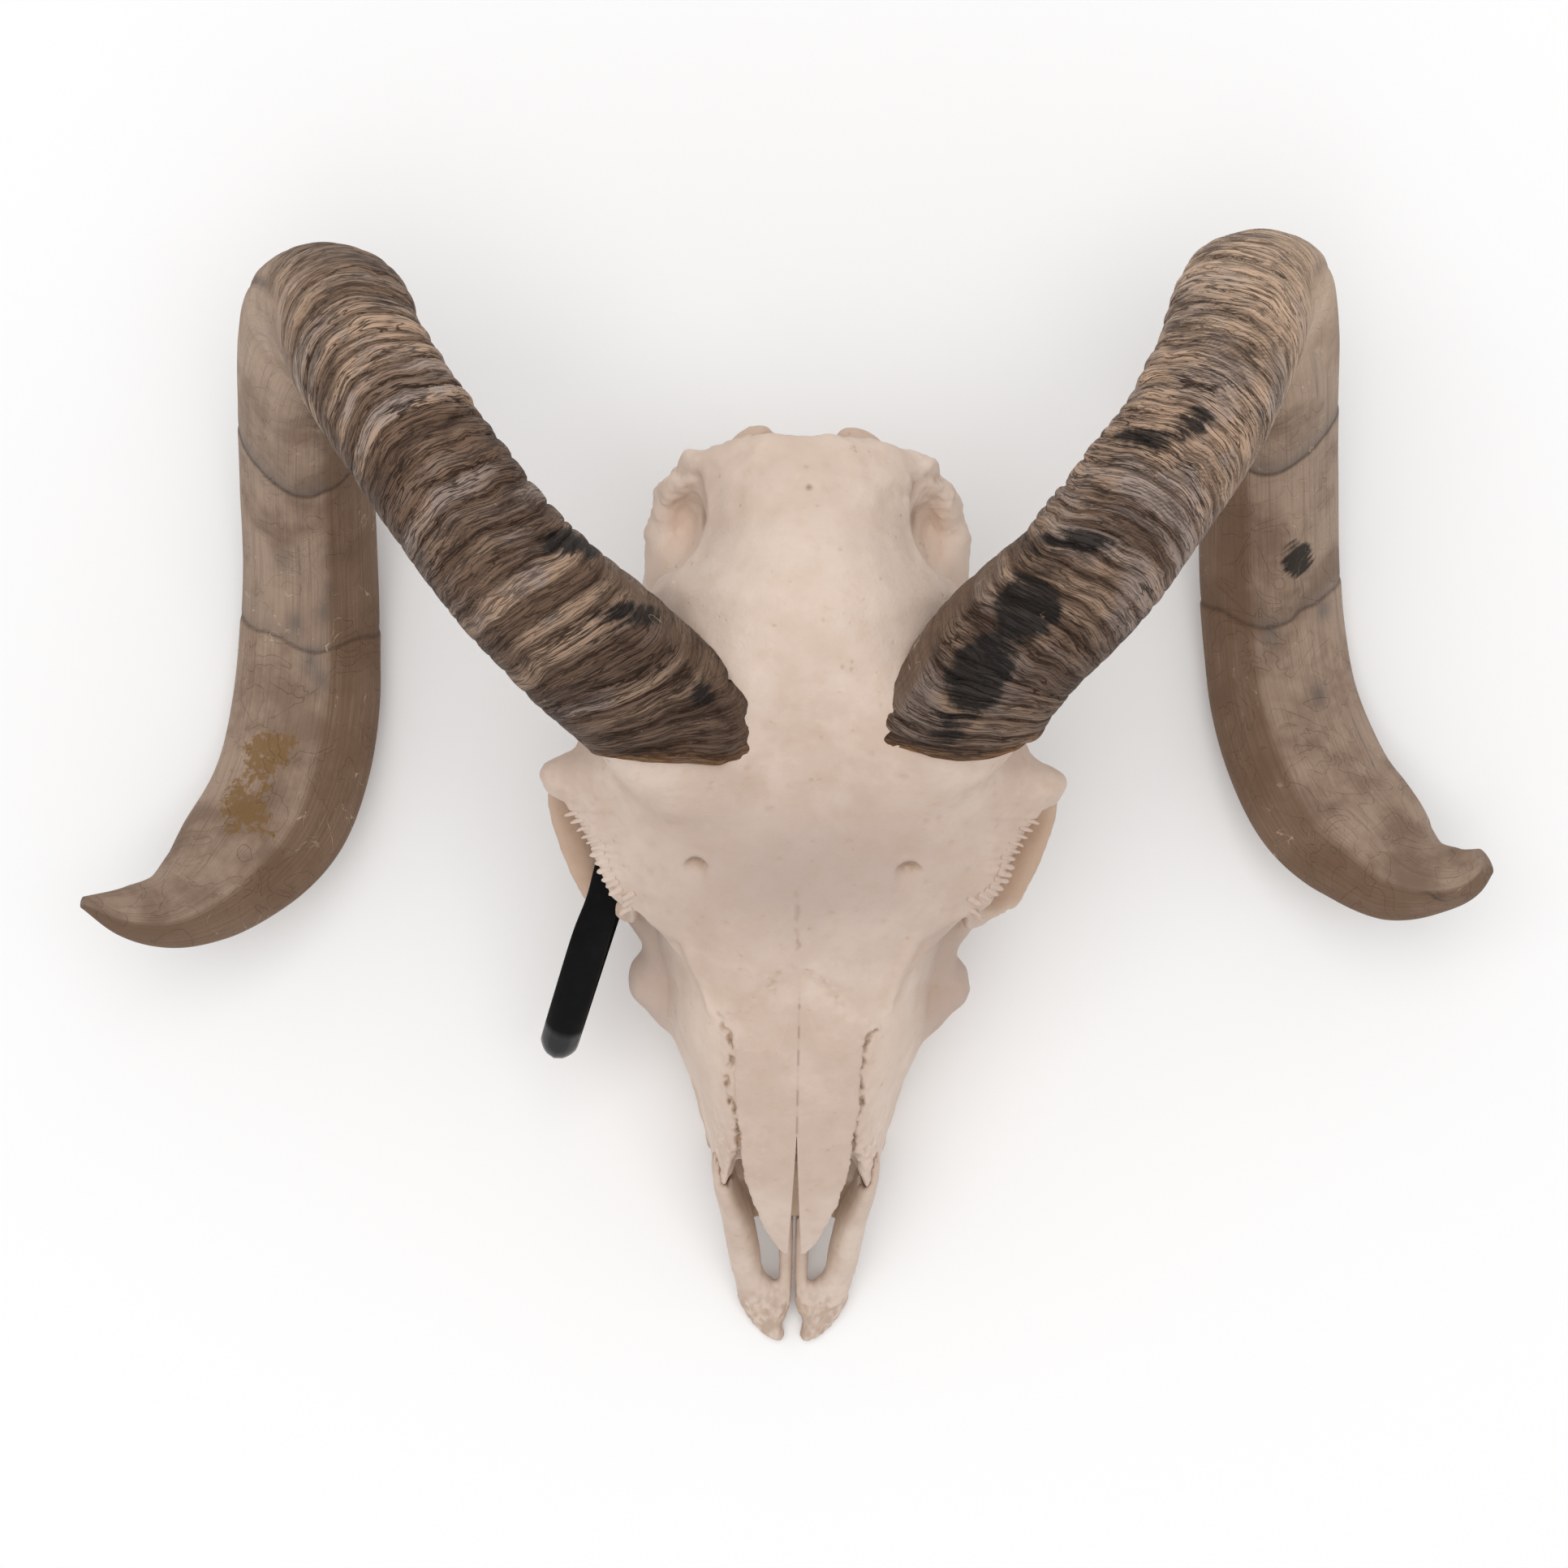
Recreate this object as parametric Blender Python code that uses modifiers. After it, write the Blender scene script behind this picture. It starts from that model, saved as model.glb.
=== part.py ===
"""Ram skull with both horn sheaths, life size, as a museum shows it.

It lies as it rests: nose low, on the tips of its front jaw bones and on the lowest curl of each
horn, with its front cheek teeth just over the ground.
X runs to the animal's left, -Y to the nose and +Z up from the surface that it lies on.
Tables are in millimetres in the skull's own place, with X = 0 on its midline. The whole is
moved at the end, so that the origin lies on the ground below the middle of its extent.
"""

import math

import bmesh
import bpy
import numpy as np
from mathutils import Euler, Matrix, Vector

MM = 0.001

# Driving sizes
GAP = 0.3                     # clearance between bones that touch
NOSE_DOWN = math.radians(10)  # slope of the palate as the skull lies
PREMOLAR_Y = -97.0            # where the first cheek tooth stands
SIDES = (("left", 1), ("right", -1))

# How fine the fused bone is
VOXEL = 1.7
SMOOTHING = 7
CORNER = 0.01                 # rounding of the plain boxes that only cut
CRANIUM_FACES = 5500
PREMAXILLA_FACES = 560

# The face, from its front edge to the orbits:
# y, top, palate, half width, share by which the top is narrower
FACE = (
    (-112, 69.5, 17.5, 24.0, 0.24),
    (-100, 79.5, 20.0, 26.0, 0.25),
    (-85, 90.5, 22.5, 30.8, 0.29),
    (-73, 97.5, 24.5, 36.8, 0.35),
    (-64, 102.5, 26.0, 40.4, 0.38),
    (-56, 106.5, 27.5, 41.0, 0.38),
    (-48, 111.0, 29.0, 42.6, 0.34),
    (-38, 117.5, 31.0, 42.4, 0.20),
    (-24, 124.0, 33.0, 41.0, 0.15),
)

# The skull roof of frontals and parietals: y, half width, top, edge height, depth in the middle
ROOF = (
    (-58, 24.0, 106.0, 97.0, 8.0),
    (-48, 31.0, 111.5, 102.0, 10.0),
    (-37, 41.8, 118.5, 103.0, 12.0),
    (-29, 50.5, 124.0, 105.0, 14.0),
    (-18, 57.0, 130.0, 107.5, 16.0),
    (-7, 63.5, 136.0, 109.0, 18.0),
    (2, 69.5, 141.0, 109.0, 20.0),
    (10, 60.0, 145.0, 110.5, 22.0),
    (20, 54.5, 149.5, 114.0, 24.0),
    (34, 48.0, 154.5, 119.0, 26.0),
    (45, 44.0, 156.0, 122.0, 26.0),
    (53, 40.0, 154.5, 124.0, 24.0),
    (60, 32.0, 151.5, 128.0, 22.0),
    (67, 27.0, 148.0, 131.0, 20.0),
    (76, 27.5, 142.5, 130.0, 18.0),
    (87, 29.5, 134.5, 124.5, 14.0),
)
ROOF_RIM = 4.5                # thickness of the roof at its free edge
HORN_SWELL = (33.0, 9.0)      # x and y where the forehead swells up to each horn
SWELL_REACH = 17.0
SWELL_HEIGHT = 11.0

# The narrow wall between the orbits, and the base of the braincase: y, top, bottom, half width
PILLAR = (
    (-52, 104.0, 42.0, 30.0),
    (-34, 110.0, 50.0, 24.0),
    (-14, 116.0, 60.0, 18.0),
    (12, 120.0, 70.0, 19.0),
    (40, 122.0, 76.0, 25.0),
    (68, 120.0, 80.0, 24.0),
    (88, 116.0, 84.0, 20.0),
)

# The nasal bones, both together: y, half width, top, thickness
NASALS = (
    (-129.0, 3.6, 57.5, 2.0),
    (-126.0, 6.4, 60.0, 2.4),
    (-118.0, 10.4, 66.0, 2.8),
    (-110.0, 13.4, 72.0, 3.0),
    (-100.0, 16.0, 79.6, 3.2),
    (-88.0, 17.6, 88.5, 3.4),
    (-75.0, 18.8, 96.6, 3.4),
    (-63.0, 19.4, 103.0, 3.4),
    (-55.0, 13.0, 107.5, 3.4),
    (-48.5, 3.0, 111.2, 3.0),
)
NASAL_ARCH = 3.2              # how far the outer edges lie below the middle
NASAL_SLIT = (0.25, 1.5)      # half gap between the two bones, at the back and at the tips

# The air passage behind the nose opening: y, half width, roof, floor
NOSE_CAVITY = (
    (-150, 21.0, 62.0, 23.0),
    (-113, 19.0, 64.0, 25.0),
    (-98, 17.5, 74.0, 28.0),
    (-84, 16.0, 84.0, 33.0),
    (-70, 13.5, 91.0, 42.0),
    (-60, 8.0, 92.0, 58.0),
)

# Orbit on the left: a nearly round ring, turned to face outwards and a little forwards
ORBIT_CENTRE = (56.8, -16.6, 85.0)
ORBIT_RADIUS = (21.2, 24.0)   # along the head and upwards, at the middle of the rim
ORBIT_TURN = math.radians(-23)
ORBIT_TILT = math.radians(12)
ORBIT_RIM = (3.6, 4.8)        # half thickness in the ring's plane and across it

# Cheek bar from the face below the orbit to the ear: x, y, z, half width, half height
CHEEK_BAR = (
    (34.5, -66.0, 44.0, 4.5, 6.0),
    (40.5, -56.0, 48.5, 4.5, 7.5),
    (38.5, -46.0, 53.0, 4.0, 8.0),
    (43.6, -37.5, 56.0, 3.7, 7.0),
    (56.6, -24.5, 58.5, 4.2, 6.5),
    (63.2, -11.0, 62.0, 4.0, 6.0),
    (64.0, 3.0, 68.0, 3.8, 6.0),
    (59.5, 18.0, 73.0, 3.6, 5.5),
    (51.0, 34.0, 78.0, 3.8, 5.5),
    (40.2, 48.0, 86.0, 4.8, 8.0),
    (37.4, 58.0, 95.0, 5.6, 10.0),
    (36.8, 68.0, 101.0, 5.6, 9.0),
)

# Ridge from ear to ear round the back of the head: x, y, z, half width, half height
NECK_RIDGE = (
    (38.0, 60.0, 88.0, 3.8, 6.0),
    (38.4, 67.0, 97.0, 4.0, 6.0),
    (35.6, 76.0, 109.0, 4.2, 5.5),
    (28.2, 82.8, 120.0, 4.0, 5.0),
    (15.0, 86.6, 127.5, 4.0, 4.5),
    (0.0, 87.6, 130.0, 4.0, 4.2),
)

TOOTH_LENGTHS = (7.5, 8.5, 9.5, 13.0, 15.5, 17.0)   # premolars and molars, front to back
TOOTH_WIDTHS = (8.0, 9.5, 11.0, 13.0, 14.0, 13.0)
TOOTH_CROWN = 13.5
TOOTH_SINK = 0.5              # how much lower the row stands than with its first tooth on the ground
TOOTH_ROW_X = (20.8, 33.0)    # middle of the first and of the last tooth

# Rounded masses of bone on the left: name, middle, radii, turn
SIDE_MASSES = (
    ("postorbital_bar", (64.6, 0.5, 94.0), (4.3, 6.0, 19.0), (0, 0.12, 0)),
    ("orbit_corner", (62.0, 1.5, 110.0), (9.0, 5.0, 6.0), (0, 0.45, 0)),
    ("ear_base", (29.0, 62.0, 91.0), (14.0, 15.0, 13.0), (0, 0, 0)),
    ("bulla", (20.0, 52.0, 77.0), (8.0, 12.0, 10.0), (0, 0, 0)),
    ("condyle", (13.0, 87.3, 92.0), (8.5, 8.5, 10.5), (0, -0.35, 0)),
    ("cheek_tuber", (42.6, -54.5, 49.0), (5.0, 7.5, 7.0), (0, 0, 0)),
    ("jaw_tuber", (31.0, -24.0, 38.0), (9.0, 8.0, 13.0), (0, 0, 0)),
)

# Bars of bone on the left, each a row of x, y, z, half width, half height
SIDE_BARS = (
    ("ear_tube", ((24, 57, 82, 5, 5), (32, 58, 83, 5, 5), (40, 59, 84.5, 5, 5))),
    ("neck_process", ((24, 80, 92, 5, 8), (26, 81, 80, 5, 7), (27, 79, 68, 3.6, 5), (26, 76, 59, 2.4, 3))),
    ("tooth_bed", ((19, -104, 18, 4, 7), (21.5, -92, 20, 5.5, 8), (27.5, -62, 26, 7.5, 9),
                   (33, -30, 32, 8.5, 9))),
    ("jaw_front", ((13, -126, 10.5, 2.2, 2), (16, -118, 14.5, 2.8, 3.2), (19.5, -106, 21, 3.6, 6))),
    ("wing_plate", ((12.5, -34, 46, 2.6, 13), (12, -14, 52, 2.4, 14), (11.5, 6, 60, 2.2, 12),
                    (11, 22, 70, 2.2, 8))),
)

# Hollows and small openings on the left: name, middle, radii, turn
SIDE_HOLLOWS = (
    ("side_hollow", (46.0, 16.0, 88.0), (21.0, 24.0, 17.0), (0.12, 0, 0.30)),
    ("temple_hollow", (33.0, 66.0, 121.0), (6.5, 12.0, 17.0), (-0.1, 0, 0.12)),
    ("temple_side", (44.0, 34.0, 103.0), (13.0, 17.0, 13.0), (-0.2, 0, 0.35)),
    ("cheek_hollow", (49.0, -52.0, 80.0), (9.5, 14.0, 19.0), (0.3, 0, 0.35)),
    ("brow_hole", (27.5, -21.5, 127.0), (3.2, 4.2, 6.0), (0.5, 0, 0)),
    ("ear_hole", (42.0, 59.5, 84.8), (8.0, 2.6, 2.6), (0, 0, 0)),
)
SOCKET_RADII = (33.0, 19.0, 21.0)
SOCKET_INWARD = 8.0           # from the rim's middle to the middle of the socket
CHEEK_HOLE = ((15, -74, 46, 3, 3), (26, -84, 44, 3, 3.4), (34, -94, 43, 3, 3.6))
THROAT = ((0, -42, 47, 7, 8), (0, -20, 52, 9, 11), (0, 14, 54, 9.5, 12))
NECK_HOLE = ((0, 62, 104, 8, 8), (0, 84, 101, 9.5, 9), (0, 112, 98, 11, 10))

# Where the fused bone parts into nodes of its own: y and z of two points of the flat joint between
# the braincase and the face, and the low and high corner of the room that holds the left cheek bone
FACE_JOINT = ((-60.0, 112.0), (-8.0, 30.0))
CHEEK_ROOM = ((44.0, -33.0, 36.0), (95.0, 32.0, 96.0))
CUTTER_SIZE = 200.0

# The front jaw bone: its blade up to the face, and the thin rod along the midline
JAW_BLADE = (
    (5.4, -160.0, 1.6, 4.0, 2.2),
    (7.6, -154.5, 3.4, 6.4, 3.4),
    (8.6, -149.0, 5.8, 7.8, 4.0),
    (10.6, -145.0, 8.0, 6.2, 4.4),
    (12.6, -140.0, 11.2, 4.6, 5.2),
    (14.3, -131.0, 18.0, 4.6, 7.0),
    (16.0, -122.0, 27.0, 4.4, 8.4),
    (18.9, -113.0, 37.5, 3.2, 9.0),
    (20.4, -104.0, 49.0, 2.6, 8.2),
    (19.6, -96.0, 59.0, 2.0, 5.0),
)
JAW_ROD = (
    (3.6, -149.5, 6.0, 2.8, 2.6),
    (2.4, -143.0, 8.6, 2.1, 2.8),
    (2.3, -132.0, 12.0, 2.1, 3.2),
    (2.3, -117.0, 17.0, 2.1, 3.4),
)

# The plastic strap through the right orbit. It runs forwards and outwards from its crossing
# of the cheek bar. Its loop is given by distance along the run, and height: out above, back below.
STRAP_CROSSING = (-52.3, -27.8)
STRAP_RUN = (-0.298, -0.955)
STRAP_LOOP = (
    (-13.0, 60.0),
    (-11.0, 69.0),
    (-5.0, 75.5),
    (3.0, 77.5),
    (13.0, 73.5),
    (32.0, 59.0),
    (45.0, 48.5),
    (51.0, 43.0),
    (49.0, 38.5),
    (42.0, 38.8),
    (26.0, 42.5),
    (8.0, 46.0),
    (-4.0, 47.0),
    (-11.0, 51.0),
)
STRAP_WIDTH = 10.4
STRAP_BOW = 2.6               # how far the middle of the fold stands out before its edges
STRAP_THICKNESS = 1.4
STRAP_LEAN = math.radians(30)  # of the band, where it lies in the front of the orbit's rim
LEAN_PLACE = (5.0, 10.0)      # middle and reach of that lean along the run

# Horns: middle of the sheath, half width across the curl and half depth towards its middle
HORN_LEFT = (
    (23.0, 5.5, 120.0, 19.0, 19.0),
    (33.5, 16.7, 133.0, 20.0, 22.0),
    (42.5, 26.4, 142.0, 20.0, 24.0),
    (52.7, 38.1, 150.0, 19.5, 24.5),
    (69.8, 53.5, 157.0, 18.8, 24.0),
    (83.9, 71.4, 158.0, 18.2, 23.0),
    (97.0, 89.3, 153.0, 17.8, 22.0),
    (106.7, 108.2, 142.0, 17.8, 21.0),
    (113.8, 124.7, 126.0, 17.8, 20.0),
    (119.3, 130.6, 106.0, 18.0, 18.6),
    (124.3, 122.6, 80.0, 18.3, 17.6),
    (127.1, 105.1, 55.0, 18.8, 16.5),
    (129.5, 83.1, 33.2, 19.3, 15.5),
    (131.3, 63.1, 19.6, 19.8, 14.8),
    (133.7, 44.0, 13.0, 20.3, 14.0),
    (136.6, 27.0, 12.9, 20.9, 13.2),
    (141.5, 11.6, 16.8, 21.4, 12.5),
    (148.4, -2.6, 24.0, 21.2, 11.5),
    (157.3, -12.6, 33.0, 19.2, 10.5),
    (166.8, -20.7, 42.0, 14.8, 9.5),
    (174.7, -22.8, 50.0, 10.0, 8.0),
    (182.3, -21.3, 57.0, 7.0, 6.5),
    (186.9, -18.3, 61.0, 4.0, 4.0),
)
HORN_RIGHT = (
    (-19.5, 1.0, 120.0, 19.5, 19.0),
    (-30.5, 12.2, 133.0, 21.0, 22.0),
    (-40.9, 24.8, 142.0, 20.6, 24.0),
    (-54.4, 35.2, 150.0, 20.2, 24.5),
    (-73.6, 51.2, 157.0, 19.2, 24.0),
    (-89.5, 69.3, 158.0, 18.5, 23.0),
    (-103.2, 86.7, 153.0, 18.0, 22.0),
    (-115.5, 103.0, 142.0, 17.6, 21.0),
    (-123.8, 117.3, 126.0, 17.8, 20.0),
    (-130.8, 121.4, 106.0, 18.2, 18.6),
    (-136.4, 113.4, 80.0, 18.3, 17.6),
    (-138.9, 97.9, 55.0, 18.5, 16.5),
    (-140.1, 77.9, 33.2, 18.8, 15.5),
    (-140.3, 57.9, 19.6, 19.0, 14.8),
    (-140.8, 38.9, 13.0, 20.0, 14.0),
    (-141.5, 21.0, 12.9, 20.9, 13.2),
    (-144.0, 3.4, 16.8, 21.2, 12.5),
    (-148.7, -11.2, 24.0, 21.0, 11.5),
    (-156.8, -23.1, 33.0, 18.8, 10.5),
    (-165.8, -32.7, 42.0, 14.6, 9.0),
    (-174.9, -37.8, 51.0, 10.5, 7.5),
    (-184.9, -38.2, 59.0, 7.0, 5.5),
    (-195.9, -35.7, 66.0, 1.6, 1.8),
)
CURL_MIDDLE = (50.0, 88.0)    # y and z of the line that the horns curl round
HORN_KEEL = 0.14              # how far the widest place lies towards the outer face
HORN_SIDES = 18
HORN_ROOT = 28.5              # where the sheath begins, from the start of its path
HORN_SKEW = 0.75              # slope of the growth lines at the root
NECK_GROWTH = (-0.05, -0.12)  # share by which the bone collar is wider at its foot, and at its top
HORN_RIDGES = 26              # growth ridges on the first part of the sheath
RIDGED_SHARE = 0.58           # of the horn's length
SMOOTH_RINGS = 20
RIDGE_HEIGHT = 0.06           # of the half width, at the crest
TWIST_SHARE = (0.70, 0.88)    # where the outer face turns down towards the tip

FINISHES = {
    "bone": ("bone", (0.80, 0.68, 0.56), 0.6),
    "horn": ("horn", (0.30, 0.23, 0.17), 0.55),
    "strap": ("black_plastic", (0.012, 0.012, 0.014), 0.35),
}


def new_collection(name):
    """A collection linked to the scene."""
    collection = bpy.data.collections.new(name)
    bpy.context.scene.collection.children.link(collection)
    return collection


def add_object(name, mesh, collection):
    """A named object for the mesh, in the collection."""
    obj = bpy.data.objects.new(name, mesh)
    collection.objects.link(obj)
    return obj


def add_mesh(name, points, faces, collection):
    """A mesh object from points in millimetres, with its faces turned outwards."""
    mesh = bpy.data.meshes.new(name)
    mesh.from_pydata([tuple(p) for p in np.asarray(points) * MM], [], faces)
    form = bmesh.new()
    form.from_mesh(mesh)
    bmesh.ops.recalc_face_normals(form, faces=form.faces)
    form.to_mesh(mesh)
    form.free()
    return add_object(name, mesh, collection)


def smooth_rows(rows, places):
    """The table's rows read at other places of its first column, on a smooth curve."""
    rows = np.array(rows, float)
    key = rows[:, 0]
    slopes = np.gradient(rows, key, axis=0)
    low = np.clip(np.searchsorted(key, places, side="right") - 1, 0, len(key) - 2)
    span = (key[low + 1] - key[low])[:, None]
    part = (np.asarray(places)[:, None] - key[low][:, None]) / span
    ease = part * part * (3 - 2 * part)
    return (
        rows[low] * (1 - ease)
        + rows[low + 1] * ease
        + slopes[low] * span * part * (1 - part) ** 2
        - slopes[low + 1] * span * part**2 * (1 - part)
    )


def by_length(stations):
    """The table with the distance run along its x, y and z put in front as first column."""
    stations = np.array(stations, float)
    steps = np.linalg.norm(np.diff(stations[:, :3], axis=0), axis=1)
    return np.column_stack([np.concatenate([[0.0], np.cumsum(steps)]), stations])


def oval(count, squareness=2.0):
    """Across and up on a superellipse of half axes 1, count points round it."""
    turn = np.linspace(0, 2 * math.pi, count, endpoint=False)
    power = 2.0 / squareness
    across = np.sign(np.cos(turn)) * np.abs(np.cos(turn)) ** power
    up = np.sign(np.sin(turn)) * np.abs(np.sin(turn)) ** power
    return across, up


def loft(name, rings, collection):
    """A closed skin over rings of points, with a fan at each end."""
    rings = np.asarray(rings)
    count, sides = rings.shape[:2]
    points = np.concatenate([rings.reshape(-1, 3), rings[0].mean(0)[None], rings[-1].mean(0)[None]])
    first, last = count * sides, count * sides + 1
    faces = []
    for side in range(sides):
        after = (side + 1) % sides
        for ring in range(count - 1):
            low, high = ring * sides, (ring + 1) * sides
            faces.append((low + side, low + after, high + after, high + side))
        faces.append((first, after, side))
        end = (count - 1) * sides
        faces.append((last, end + side, end + after))
    return add_mesh(name, points, faces, collection)


def cross_loft(name, places, across, up, collection):
    """A loft along Y: across and up are arrays of one row for each place."""
    rings = np.stack([across, np.broadcast_to(np.asarray(places)[:, None], across.shape), up], axis=2)
    return loft(name, rings, collection)


def sweep(name, stations, side, collection, count=24, sides=14, squareness=2.2):
    """An oval bar through x, y, z, half width and half height, upright along its way."""
    rows = by_length(stations)
    path = smooth_rows(rows, np.linspace(0, rows[-1, 0], count))[:, 1:]
    centre = path[:, :3] * (side, 1, 1)
    ahead = np.gradient(centre, axis=0)
    ahead /= np.linalg.norm(ahead, axis=1)[:, None]
    wide = np.cross(ahead, (0, 0, 1))
    wide /= np.linalg.norm(wide, axis=1)[:, None]
    high = np.cross(wide, ahead)
    across, up = oval(sides, squareness)
    rings = (
        centre[:, None]
        + wide[:, None] * (path[:, 3:4] * across)[:, :, None]
        + high[:, None] * (path[:, 4:5] * up)[:, :, None]
    )
    return loft(name, rings, collection)


def ellipsoid(name, centre, radii, collection, turn=(0, 0, 0)):
    """A scaled sphere in its place."""
    mesh = bpy.data.meshes.new(name)
    form = bmesh.new()
    bmesh.ops.create_uvsphere(form, u_segments=28, v_segments=18, radius=1.0)
    place = Matrix.LocRotScale(Vector(centre) * MM, Euler(turn), Vector(radii) * MM)
    bmesh.ops.transform(form, matrix=place, verts=form.verts)
    form.to_mesh(mesh)
    form.free()
    return add_object(name, mesh, collection)


def side_ellipsoids(table, side, collection):
    """Every ellipsoid of a table for the left, on the given side."""
    for name, (x, y, z), radii, (about_x, about_y, about_z) in table:
        turn = (about_x, about_y * side, about_z * side)
        ellipsoid(name, (x * side, y, z), radii, collection, turn)


def block(name, centre, size, collection, turn=(0, 0, 0), bevel=1.6):
    """A box with rounded edges."""
    mesh = bpy.data.meshes.new(name)
    form = bmesh.new()
    bmesh.ops.create_cube(form, size=1.0)
    bmesh.ops.scale(form, vec=Vector(size) * MM, verts=form.verts)
    bmesh.ops.bevel(form, geom=form.edges, offset=bevel * MM, segments=2, affect="EDGES", profile=0.5)
    place = Matrix.LocRotScale(Vector(centre) * MM, Euler(turn), None)
    bmesh.ops.transform(form, matrix=place, verts=form.verts)
    form.to_mesh(mesh)
    form.free()
    return add_object(name, mesh, collection)


def bake(obj):
    """Replaces the object's mesh by what its modifiers make of it."""
    graph = bpy.context.evaluated_depsgraph_get()
    mesh = bpy.data.meshes.new_from_object(obj.evaluated_get(graph))
    obj.modifiers.clear()
    obj.data = mesh


def hide_cutters(collection):
    """Shows the collection's objects as wires and keeps them out of renders."""
    for obj in collection.objects:
        obj.display_type = "WIRE"
        obj.hide_render = True


def add_boolean(obj, operation, collection=None, operand=None):
    """A Boolean modifier with one object, or with all of a collection."""
    modifier = obj.modifiers.new(operation.title(), "BOOLEAN")
    modifier.operation = operation
    modifier.solver = "EXACT"
    if collection:
        modifier.operand_type = "COLLECTION"
        modifier.collection = collection
    else:
        modifier.object = operand


def remove_collection(collection):
    """Removes the collection and the objects in it."""
    for obj in list(collection.objects):
        bpy.data.objects.remove(obj)
    bpy.data.collections.remove(collection)


def keep_largest(obj):
    """Drops every closed surface of the mesh but the one with the most faces."""
    form = bmesh.new()
    form.from_mesh(obj.data)
    left = set(form.faces)
    shells = []
    while left:
        shell, edge = set(), [left.pop()]
        while edge:
            face = edge.pop()
            shell.add(face)
            near = {other for side in face.edges for other in side.link_faces if other in left}
            left -= near
            edge.extend(near)
        shells.append(shell)
    shells.sort(key=len)
    bmesh.ops.delete(form, geom=[face for shell in shells[:-1] for face in shell], context="FACES")
    loose = [vert for vert in form.verts if not vert.link_faces]
    bmesh.ops.delete(form, geom=loose, context="VERTS")
    form.to_mesh(obj.data)
    form.free()


def fuse(base, pieces, cutters, voxel, smoothing, face_count):
    """Joins the pieces to the base, takes the cutters out, rounds the joins and thins the mesh."""
    add_boolean(base, "UNION", collection=pieces)
    if cutters:
        add_boolean(base, "DIFFERENCE", collection=cutters)
    remesh = base.modifiers.new("Even skin", "REMESH")
    remesh.mode = "VOXEL"
    remesh.voxel_size = voxel * MM
    soften = base.modifiers.new("Soften", "SMOOTH")
    soften.factor = 0.5
    soften.iterations = smoothing
    bake(base)
    keep_largest(base)
    thin = base.modifiers.new("Thin", "DECIMATE")
    thin.ratio = face_count / (2 * len(base.data.polygons))
    thin.use_collapse_triangulate = True
    bake(base)
    keep_largest(base)
    remove_collection(pieces)
    if cutters:
        remove_collection(cutters)


def swollen_copy(obj, amount, collection):
    """A copy of the object whose surface stands out by the amount."""
    copy = add_object(obj.name + "_swollen", obj.data.copy(), collection)
    grow = copy.modifiers.new("Swell", "DISPLACE")
    grow.mid_level = 0.0
    grow.strength = amount * MM
    bake(copy)
    return copy


def face_form(collection):
    """Nose, cheeks and palate: a tapering box with rounded sides, narrow at the top."""
    places = np.linspace(FACE[0][0], FACE[-1][0], 46)
    rows = smooth_rows(FACE, places)
    across, up = oval(40, 3.8)
    top, palate, half, narrow = (rows[:, column][:, None] for column in (1, 2, 3, 4))
    height = (top + palate) / 2 + (top - palate) / 2 * up
    width = half * across * (1 - narrow * ((up + 1) / 2) ** 1.15)
    return cross_loft("face", places, width, height, collection)


def roof_form(collection):
    """Forehead and crown: a vaulted plate, thin at its free edges over the orbits."""
    places = np.linspace(ROOF[0][0], ROOF[-1][0], 64)
    rows = smooth_rows(ROOF, places)
    half, top, rim, depth = (rows[:, column][:, None] for column in (1, 2, 3, 4))
    turn = np.linspace(0, 2 * math.pi, 48, endpoint=False)
    share = np.cos(turn)
    away = np.hypot(np.abs(half * share) - HORN_SWELL[0], places[:, None] - HORN_SWELL[1])
    outer = top - (top - rim) * np.abs(share) ** 2.4 + SWELL_HEIGHT * np.exp(-((away / SWELL_REACH) ** 2))
    inner = rim - ROOF_RIM - depth * (1 - share**2) * 0.5 + (top - rim) * (1 - share**2) * 0.5
    round_off = np.sqrt(1 - np.abs(share) ** 8)
    height = (outer + inner) / 2 + np.sign(np.sin(turn)) * (outer - inner) / 2 * round_off
    return cross_loft("roof", places, half * share, height, collection)


def pillar_form(collection):
    """The narrow core between the orbits and under the braincase."""
    places = np.linspace(PILLAR[0][0], PILLAR[-1][0], 40)
    rows = smooth_rows(PILLAR, places)
    across, up = oval(28, 2.4)
    top, bottom, half = (rows[:, column][:, None] for column in (1, 2, 3))
    height = (top + bottom) / 2 + (top - bottom) / 2 * up
    return cross_loft("pillar", places, half * across, height, collection)


def orbit_place(side):
    """The turn and the middle of the orbit's ring on one side."""
    turn = Euler((0, -ORBIT_TILT * side, ORBIT_TURN * side)).to_matrix()
    return turn, Vector((ORBIT_CENTRE[0] * side, ORBIT_CENTRE[1], ORBIT_CENTRE[2]))


def orbit_rim(side, collection):
    """The bony ring round the eye socket."""
    turn, middle = orbit_place(side)
    count, sides = 40, 10
    around = np.linspace(0, 2 * math.pi, count, endpoint=False)
    across, up = oval(sides)
    radius = 1 + ORBIT_RIM[0] / ORBIT_RADIUS[0] * across
    local = np.stack([
        np.broadcast_to(ORBIT_RIM[1] * up, (count, sides)),
        ORBIT_RADIUS[0] * np.cos(around)[:, None] * radius,
        ORBIT_RADIUS[1] * np.sin(around)[:, None] * radius,
    ], axis=2)
    rings = local @ np.array(turn).T + np.array(middle)
    faces = [
        (a * sides + b, (a + 1) % count * sides + b,
         (a + 1) % count * sides + (b + 1) % sides, a * sides + (b + 1) % sides)
        for a in range(count) for b in range(sides)
    ]
    return add_mesh("orbit_rim", rings.reshape(-1, 3), faces, collection)


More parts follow.
